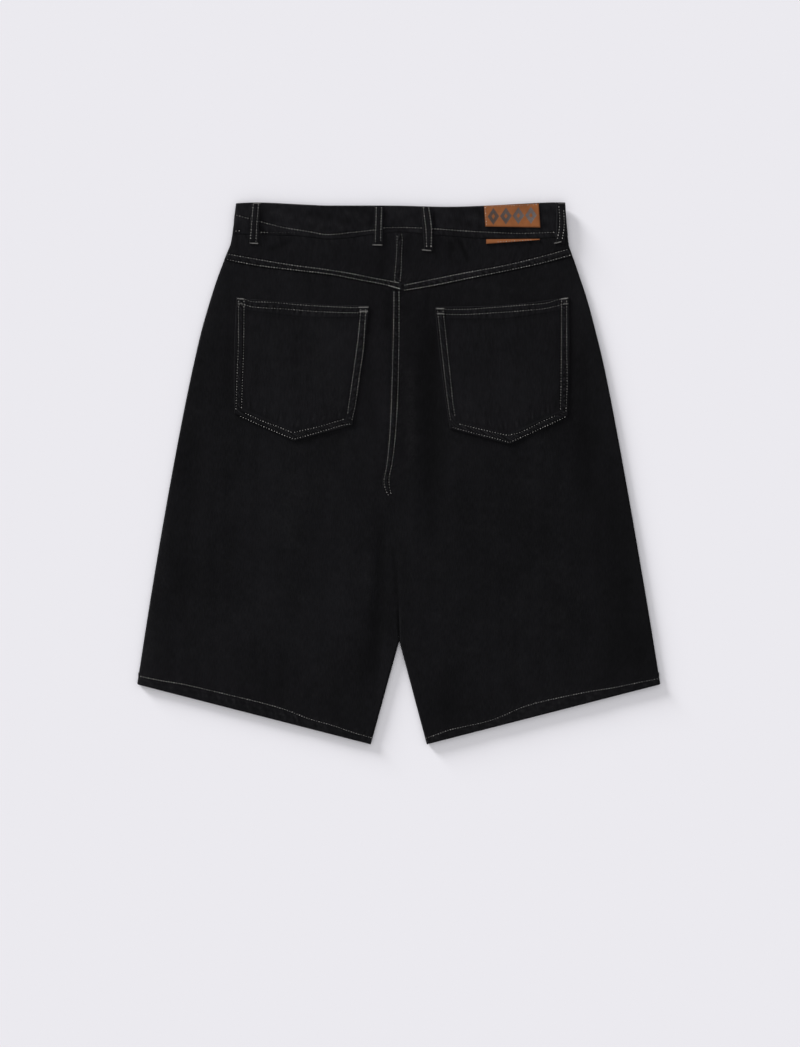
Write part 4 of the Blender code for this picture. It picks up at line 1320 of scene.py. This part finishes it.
class SHORTS_OT_studio(bpy.types.Operator):
    """Makes the floor, the light and the camera."""

    bl_idname = "shorts.studio"
    bl_label = "Studio"

    def execute(self, context):
        studio = context.scene.shorts_studio
        context.scene.view_settings.view_transform = "Standard"
        self.add_floor(studio)
        self.add_sky(context, studio)
        self.add_sun(studio)
        camera = add_object("camera", bpy.data.cameras.new("camera"))
        camera.data.lens = studio.lens
        camera.location = (*CAMERA_PLACE, studio.distance)
        context.scene.camera = camera
        return {"FINISHED"}

    def add_floor(self, studio):
        shape = bmesh.new()
        bmesh.ops.create_grid(shape, x_segments=1, y_segments=1, size=FLOOR_HALF)
        bmesh.ops.translate(shape, vec=(0.0, 0.0, FLOOR_LEVEL), verts=shape.verts)
        floor = add_object("floor", write_mesh("floor", shape))
        paint = Finish("floor", Roughness=1.0, Specular_IOR_Level=0.0)
        paint.shader.inputs["Base Color"].default_value = tinted(studio.floor)
        floor.data.materials.append(paint.material)

    def add_sky(self, context, studio):
        world = bpy.data.worlds.new("studio")
        world.use_nodes = True
        tree = world.node_tree
        place = tree.nodes.new("ShaderNodeTexCoord")
        parts = tree.nodes.new("ShaderNodeSeparateXYZ")
        level = tree.nodes.new("ShaderNodeMapRange")
        level.inputs["To Min"].default_value = studio.sky * SKY_LOW
        level.inputs["To Max"].default_value = studio.sky * SKY_HIGH
        sky = tree.nodes["Background"]
        sky.inputs["Color"].default_value = (1.0, 1.0, 1.0, 1.0)
        tree.links.new(place.outputs["Generated"], parts.inputs["Vector"])
        tree.links.new(parts.outputs["Z"], level.inputs["Value"])
        tree.links.new(level.outputs["Result"], sky.inputs["Strength"])
        context.scene.world = world

    def add_sun(self, studio):
        lamp = bpy.data.lights.new("low_light", "SUN")
        lamp.energy = studio.sun
        lamp.angle = studio.sun_width
        level = math.cos(studio.sun_height)
        towards = Vector((
            math.sin(studio.sun_turn) * level,
            -math.cos(studio.sun_turn) * level,
            -math.sin(studio.sun_height),
        ))
        light = add_object("low_light", lamp)
        light.rotation_euler = towards.to_track_quat("-Z", "Y").to_euler()


class SHORTS_OT_back_panels(bpy.types.Operator):
    """Makes the two back panels with their seams, creases and turned hems."""

    bl_idname = "shorts.back_panels"
    bl_label = "Back panels"

    def execute(self, context):
        for key in SIDE_OF:
            grid = leg_panel(key, BACK_CUT)
            look = (f"denim_{key}", "denim", f"back_panel_{key}")
            piece = add_cloth(f"back_{key}", grid, CLOTH, 1, *look)
        return {"FINISHED"}


class SHORTS_OT_front_panels(bpy.types.Operator):
    """Makes the two front panels, which lie underneath."""

    bl_idname = "shorts.front_panels"
    bl_label = "Front panels"

    def execute(self, context):
        for key in SIDE_OF:
            grid = leg_panel(key, FRONT_CUT)
            look = ("denim_front", "denim", f"front_panel_{key}")
            piece = add_cloth(f"front_{key}", grid, CLOTH, -1, *look)
        return {"FINISHED"}


class SHORTS_OT_yokes(bpy.types.Operator):
    """Makes the two back yokes, whose folded lower edges lap over the panels."""

    bl_idname = "shorts.yokes"
    bl_label = "Yokes"

    def execute(self, context):
        for key in SIDE_OF:
            look = ("denim_yoke", "denim", f"back_yoke_{key}")
            piece = add_cloth(f"yoke_{key}", self.grid(key), YOKE_SHELL, 1, *look)
        return {"FINISHED"}

    def grid(self, key):
        side = SIDE_OF[key]
        depth = spread_out(YOKE_DEPTH, 2.0, 14.0, FINE_STEP, 2.2)[:, None]
        share = depth / YOKE_DEPTH
        top = partial(self.level, band_edge, side, -SEAM_GAP)
        low = partial(self.level, yoke_edge, side, SEAM_GAP / 2)
        y_in, y_out = (between(top(end), low(end), share) for end in (0.0, 1.0))
        x_in, width, inset, drop, lean = leg_stations(
            side, y_in, y_out, back_seam, 105, key == "right"
        )
        x = x_in + side * inset
        across = inset / width
        y = between(top(across), low(across), share)
        z, worn = yoke_face(key, x, y)
        rim = np.maximum(SEAM_FOLD - (YOKE_DEPTH - depth), 0.0)
        folded = SEAM_FOLD - np.sqrt(SEAM_FOLD**2 - rim**2)
        return x, y, z - drop - folded * np.cos(lean), worn

    def level(self, edge, side, gap, across):
        return edge(between(back_seam(edge(0.0)), outer_end(side, edge), across)) + gap


class SHORTS_OT_pockets(bpy.types.Operator):
    """Makes the two back pockets with their turned edges."""

    bl_idname = "shorts.pockets"
    bl_label = "Back pockets"

    def execute(self, context):
        for key in SIDE_OF:
            look = ("denim_pocket", "pocket_denim", f"back_pocket_{key}")
            piece = add_cloth(f"pocket_{key}", self.grid(key), POCKET_SHELL, 1, *look)
        return {"FINISHED"}

    def grid(self, key):
        wide, side_drop = self.steps(POCKET_WIDTH, 13.0)
        long, top_drop = (part[:, None] for part in self.steps(POCKET_LENGTH, 17.0))
        x, y = self.spots(key, wide / wide[-1], long / long[-1])
        from_side = np.minimum(np.minimum(wide, wide[-1] - wide), long[-1] - long)
        z, worn = pocket_face(key, x, y, long, from_side)
        return x, y, z - np.maximum(side_drop, top_drop), worn

    def steps(self, length, fine):
        flat = spread_out(length, fine, 13.0, 0.72, 2.6) + POCKET_RIM
        return rimmed(flat, length + 2 * POCKET_RIM, POCKET_RIM, 5)

    def spots(self, key, across, down):
        top = POCKET_TOPS[key]
        x_top = between(top[0].x, top[-1].x, across)
        y_top = smooth_curve(top)(x_top)
        foot = np.transpose(POCKET_FEET[key])
        x_foot, y_foot = (np.interp(across, (0.0, 0.5, 1.0), column) for column in foot)
        swell = POCKET_BOW * 4.0 * down * (1.0 - down) * (1.0 - 2.0 * across) * SIDE_OF[key]
        return between(x_top, x_foot, down) + swell, between(y_top, y_foot, down)


class SHORTS_OT_waistband(bpy.types.Operator):
    """Makes the waistband, one folded strip lapped at the centre front."""

    bl_idname = "shorts.waistband"
    bl_label = "Waistband"

    def execute(self, context):
        grid = [part.T for part in self.grid()]
        look = ("denim_band", "band_denim", "waistband")
        piece = add_cloth("band", grid, BAND_SHELL, 1, *look)
        return {"FINISHED"}

    def path(self):
        """Stations round the waist: share of the half-width, height (nan on the back), front share."""
        lap = LAP_END / BAND_HALF
        ramp = (LAP_END + LAP_RAMP) / BAND_HALF
        middle = (BAND_TOP + BAND_UNDER) / 2
        radius = (BAND_TOP - BAND_UNDER) / 2
        upper = BAND_UNDER + BAND_CLOTH + SEAM_GAP
        bend = []
        for step in range(1, 12):
            turn = math.pi * step / 12
            share = between(FLAT_SHARE, 1.0, math.sin(turn))
            bend.append((share, middle - radius * math.cos(turn), 1.0 - step / 12))
        stations = [(between(lap, -FLAT_SHARE, k / 90), BAND_UNDER, 1.0) for k in range(91)]
        stations += [(-share, height, front) for share, height, front in bend]
        back = np.linspace(-FLAT_SHARE, FLAT_SHARE, 240)
        stations += [(share, math.nan, 0.0) for share in back]
        stations += bend[::-1]
        stations += [(between(FLAT_SHARE, ramp, k / 70), BAND_UNDER, 1.0) for k in range(71)]
        for step in range(1, 9):
            height = between(BAND_UNDER, upper, float(ease(step / 8)))
            stations.append((between(ramp, lap, step / 8), height, 1.0))
        stations += [(between(lap, -lap, k / 14), upper, 1.0) for k in range(1, 15)]
        return (np.array(column)[:, None] for column in zip(*stations))

    def profile(self):
        """Across the strip: (level, distance over that level, inward share of the thickness)."""
        radius = BAND_CLOTH / 2
        quarter = np.linspace(math.pi / 2, 0.0, 5)
        rows = [(0.0, radius - radius * math.sin(a), 1.0 - math.cos(a)) for a in quarter]
        rows += [(k / 30, radius * (1.0 - k / 15), 0.0) for k in range(1, 31)]
        half = np.linspace(0.0, math.pi, 9)[1:]
        rows += [(1.0, radius * math.sin(a) - radius, 1.0 - math.cos(a)) for a in half]
        rows += [(1.0 - k / 12, radius * (k / 6 - 1.0), 2.0) for k in range(1, 13)]
        quarter = quarter[::-1][1:]
        rows += [(0.0, radius - radius * math.sin(a), 1.0 + math.cos(a)) for a in quarter]
        return (np.array(column)[None, :] for column in zip(*rows))

    def grid(self):
        share, height, front = self.path()
        level, over, inward = self.profile()
        x = share * BAND_HALF + np.zeros_like(level)
        for _ in range(3):
            back_y = between(band_edge(x), waist_edge(x), level) + over
            front_y = front_band_edge(x) + level * FRONT_BAND + over
            y = between(back_y, front_y, ease(front))
            x = np.abs(share) * side_edge(share, y)
        z = np.where(np.isnan(height), band_height(x), np.nan_to_num(height))
        run_x, run_z = np.gradient(x, axis=0), np.gradient(z, axis=0)
        relief, worn = band_relief(x, y)
        relief = relief * (front < 0.5) * np.maximum(1.0 - inward, 0.0)
        depth = (inward * BAND_CLOTH / 2 - relief) / np.hypot(run_x, run_z)
        worn = worn * np.maximum(1.0 - inward * 0.5, 0.0)
        return x + depth * run_z, y, z - depth * run_x, worn


class SHORTS_OT_belt_loops(bpy.types.Operator):
    """Makes the belt loops: four on the back and two on the front."""

    bl_idname = "shorts.belt_loops"
    bl_label = "Belt loops"

    def execute(self, context):
        for loop in BACK_LOOPS + FRONT_LOOPS:
            face = 1 if loop in BACK_LOOPS else -1
            name = loop.name.replace("belt_", "")
            look = ("denim_loop", "loop_denim", loop.name)
            piece = add_cloth(name, self.grid(loop, face), LOOP_SHELL, face, *look)
        return {"FINISHED"}

    def grid(self, loop, face):
        flat = np.linspace(LOOP_RIM, LOOP_WIDTH - LOOP_RIM, 15)
        across, rim = rimmed(flat, LOOP_WIDTH, LOOP_RIM, 4)
        across = across - LOOP_WIDTH / 2
        share = np.linspace(0.0, 1.0, 56)[:, None]
        x = between(loop.x_low, loop.x_top, share) + across
        y = between(*loop_ends(loop), share) + np.zeros_like(x)
        worn = 0.9 * bell(LOOP_WIDTH / 2 - np.abs(across), 0.9)
        if face < 0:
            return x, y, rim, worn
        return x, y, loop_face(loop, x, y) - rim + grooves(LOOP_ROWS[loop.name], x, y), worn


class SHORTS_OT_patch(bpy.types.Operator):
    """Makes the leather patch and its foot below the band."""

    bl_idname = "shorts.patch"
    bl_label = "Leather patch"

    def execute(self, context):
        self.leather("patch", PATCH, 30, patch_face, "label_patch")
        self.leather("patch_foot", PATCH_TAIL, 9, tail_face, "label_patch_tail")
        return {"FINISHED"}

    def leather(self, name, corners, rows, face, node):
        top_a, top_b, foot_a, foot_b = np.array(corners)
        across = np.linspace(0.0, 1.0, 72)
        down = np.linspace(0.0, 1.0, rows)[:, None]
        x, y = (
            between(between(a, b, across), between(c, d, across), down)
            for a, b, c, d in zip(top_a, top_b, foot_a, foot_b)
        )
        from_side = np.minimum(across, 1.0 - across) * abs(top_b[0] - top_a[0])
        from_end = np.minimum(down, 1.0 - down) * abs(top_a[1] - foot_a[1])
        rim = np.minimum(from_side, from_end)
        z = face(x, y) - 0.3 * bell(rim, 0.45) + 0.08 * unevenness(x, y, 14.0, 0.6)
        grid = (x, y, z, bell(rim, 0.8))
        add_cloth(name, grid, PATCH_THICK - 0.1, 1, "tan_leather", "leather", node)


class SHORTS_OT_fly(bpy.types.Operator):
    """Makes the fly shield inside the front and the shank button of the waist."""

    bl_idname = "shorts.fly"
    bl_label = "Fly and button"

    def execute(self, context):
        self.shield()
        self.button()
        return {"FINISHED"}

    def shield(self):
        across = np.linspace(0.0, 1.0, 14)
        down = np.linspace(0.0, 1.0, 34)[:, None]
        x = FLY_START + FLY_WIDTH * across
        y = front_band_edge(x) - 1.0 - FLY_LENGTH * (1.0 - FLY_TAPER * across**3) * down
        grid = (x, y, front_form(x, y) + SEAM_GAP + FLY_HEIGHT, 0.0)
        piece = add_cloth("fly", grid, FLY_SHELL, 1, "denim_front", "denim", "fly_shield")

    def button(self):
        shape = bmesh.new()
        line = [shape.verts.new(Vector((x, 0.0, z)) * MM) for x, z in BUTTON_PROFILE]
        run = [shape.edges.new(pair) for pair in zip(line, line[1:])]
        bmesh.ops.spin(
            shape, geom=line + run, cent=(0, 0, 0), axis=(0, 0, 1), angle=math.tau, steps=56,
            use_merge=True,
        )
        bmesh.ops.remove_doubles(shape, verts=shape.verts, dist=1e-7)
        bmesh.ops.recalc_face_normals(shape, faces=shape.faces)
        place = Vector((0.0, BUTTON_Y, 0.0)) * MM
        bmesh.ops.translate(shape, vec=place, verts=shape.verts)
        mesh = write_mesh("button", shape)
        mesh.set_sharp_from_angle(angle=SHARP)
        add_piece("button", mesh, "aged_brass", "button_metal", "waist_button")


class SHORTS_OT_stitching(bpy.types.Operator):
    """Sews every row of topstitching and every bartack."""

    bl_idname = "shorts.stitching"
    bl_label = "Stitching"

    def execute(self, context):
        sizes = context.scene.shorts_sizes
        self.seams(sizes.seam_pitch)
        self.pockets(sizes.seam_pitch)
        self.hems(sizes.hem_pitch)
        self.band(sizes)
        self.patch(sizes.seam_pitch)
        self.front(sizes)
        return {"FINISHED"}

    def seams(self, pitch):
        for key in SIDE_OF:
            made = all_rows(YOKE_ROWS[key], back_face, pitch, 1.2, "y")
            sew(f"thread_yoke_{key}", made)
        made = all_rows(YOKE_SEAM_ROWS, back_face, pitch, 0.82, "x")
        made += all_rows(SEAT_ROWS, back_face, pitch, 1.1, "x")
        made += all_rows(CROSSING_ROWS, back_face, pitch, 1.2, thick=0.8, share=0.7)
        sew("thread_seat", made)

    def pockets(self, pitch):
        for key in SIDE_OF:
            def surface(x, y, key=key):
                stand = POCKET_STAND + POCKET_TURNING
                return back_form(x, y) + stand + grooves(POCKET_ROWS[key], x, y)

            made = all_rows(POCKET_ROWS[key], surface, pitch, POCKET_PALE[key], "y")
            for tack in POCKET_TACKS[key]:
                made += tack_stitches(tack, surface)
            sew(f"thread_pocket_{key}", made)

    def hems(self, pitch):
        for key in SIDE_OF:
            row, pale = HEM_ROWS[key], HEM_PALE[key]
            made = row_stitches(row, height_on(panel_face, key), pitch, pale, seed=0.4)
            under = height_on(front_face, key)
            sew(f"thread_hem_{key}", made + row_stitches(row, under, pitch, pale, -1, 2.4))

    def band(self, sizes):
        def surface(x, y):
            return band_height(x) + band_relief(x, y)[0]

        made = all_rows(BAND_ROWS, surface, sizes.band_pitch, 0.86, "y")
        made += row_stitches(FAINT_ROW, surface, sizes.band_pitch, 0.0, thick=FAINT_THREAD)
        crown = [Edge(edge.x, edge.y - 1.0) for edge in WAIST_EDGE]
        made += row_stitches(crown, surface, sizes.seam_pitch, 0.12, seed=2.0, lift=-0.06)
        for loop in BACK_LOOPS:
            def on_loop(x, y, loop=loop):
                return loop_face(loop, x, y) - 0.2

            made += all_rows(LOOP_ROWS[loop.name], on_loop, sizes.seam_pitch, 1.03, "x")
            for tack in LOOP_TACKS[loop.name]:
                made += tack_stitches(tack, on_loop)
        sew("thread_band", made)

    def patch(self, pitch):
        made = []
        for row, pale in zip(PATCH_ROWS, PATCH_PALE):
            made += all_rows([row], patch_face, pitch, pale, "x")
        sew("thread_patch", made + all_rows(TAIL_ROWS, tail_face, pitch, 1.1, thick=0.6))

    def front(self, sizes):
        """The plain sewing of the underside."""
        surface = height_on(front_face, "left")
        made = all_rows(FLY_ROWS + FRONT_SEAM_ROWS, surface, sizes.seam_pitch, 0.9, face=-1)
        made += tack_stitches(FLY_TACK, surface, -1)
        for above in (3.2, FRONT_BAND - 2.6):
            places = np.linspace(-190.0, 190.0, 20)
            row = [Edge(x, float(front_band_edge(x)) + above) for x in places]
            made += row_stitches(row, band_under, sizes.band_pitch, 0.8, -1, above)
        made += self.buttonhole()
        for loop in FRONT_LOOPS:
            made += self.front_loop(loop, sizes.seam_pitch)
        sew("thread_front", made)

    def buttonhole(self):
        middle = np.array((BUTTONHOLE.x, BUTTON_Y, BAND_UNDER - 0.1))
        made = []
        for k in range(BUTTONHOLE.stitches):
            turn = math.tau * k / BUTTONHOLE.stitches
            out = np.array((math.cos(turn), math.sin(turn), 0.0))
            place = middle + out * (BUTTONHOLE.length / 2, BUTTONHOLE.width / 2, 0.0)
            made.append(Stitch(place, out, (0.0, 0.0, -1.0), 1.8, 0.5, 0.45))
        return made

    def front_loop(self, loop, pitch):
        def surface(x, y):
            return np.zeros(np.shape(x))

        foot, crown = loop_ends(loop)
        made = []
        for aside in (-LOOP_ROW, LOOP_ROW):
            row = edges((loop.x_low + aside, foot + 2.0), (loop.x_top + aside, crown - 1.6))
            made += row_stitches(row, surface, pitch, 1.0, -1, aside)
        for y in (foot + 1.0, crown - 1.2):
            made += tack_stitches(Tack(loop.x_low, y, 9.6, 0.0), surface, -1)
        return made


STEPS = (
    SHORTS_OT_studio,
    SHORTS_OT_front_panels,
    SHORTS_OT_back_panels,
    SHORTS_OT_yokes,
    SHORTS_OT_pockets,
    SHORTS_OT_waistband,
    SHORTS_OT_belt_loops,
    SHORTS_OT_patch,
    SHORTS_OT_fly,
    SHORTS_OT_stitching,
)
GROUPS = {
    "shorts_sizes": ShortsSizes,
    "shorts_colours": ShortsColours,
    "shorts_studio": ShortsStudio,
}


class SHORTS_PT_pieces(bpy.types.Panel):
    """Lists the sizes, the colours and the pieces."""

    bl_idname = "SHORTS_PT_pieces"
    bl_label = "Bermuda shorts"
    bl_space_type = "VIEW_3D"
    bl_region_type = "UI"
    bl_category = "Shorts"

    def draw(self, context):
        for name, group in GROUPS.items():
            box = self.layout.box()
            for key in group.__annotations__:
                box.prop(getattr(context.scene, name), key)
        for step in STEPS:
            self.layout.operator(step.bl_idname)


def register():
    for name, group in GROUPS.items():
        bpy.utils.register_class(group)
        setattr(bpy.types.Scene, name, PointerProperty(type=group))
    for step in (*STEPS, SHORTS_PT_pieces):
        bpy.utils.register_class(step)


def unregister():
    for step in (*STEPS, SHORTS_PT_pieces):
        bpy.utils.unregister_class(step)
    for name, group in GROUPS.items():
        delattr(bpy.types.Scene, name)
        bpy.utils.unregister_class(group)


def main():
    register()
    for step in STEPS:
        group, name = step.bl_idname.split(".")
        getattr(getattr(bpy.ops, group), name)()
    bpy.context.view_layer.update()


if __name__ == "__main__":
    main()
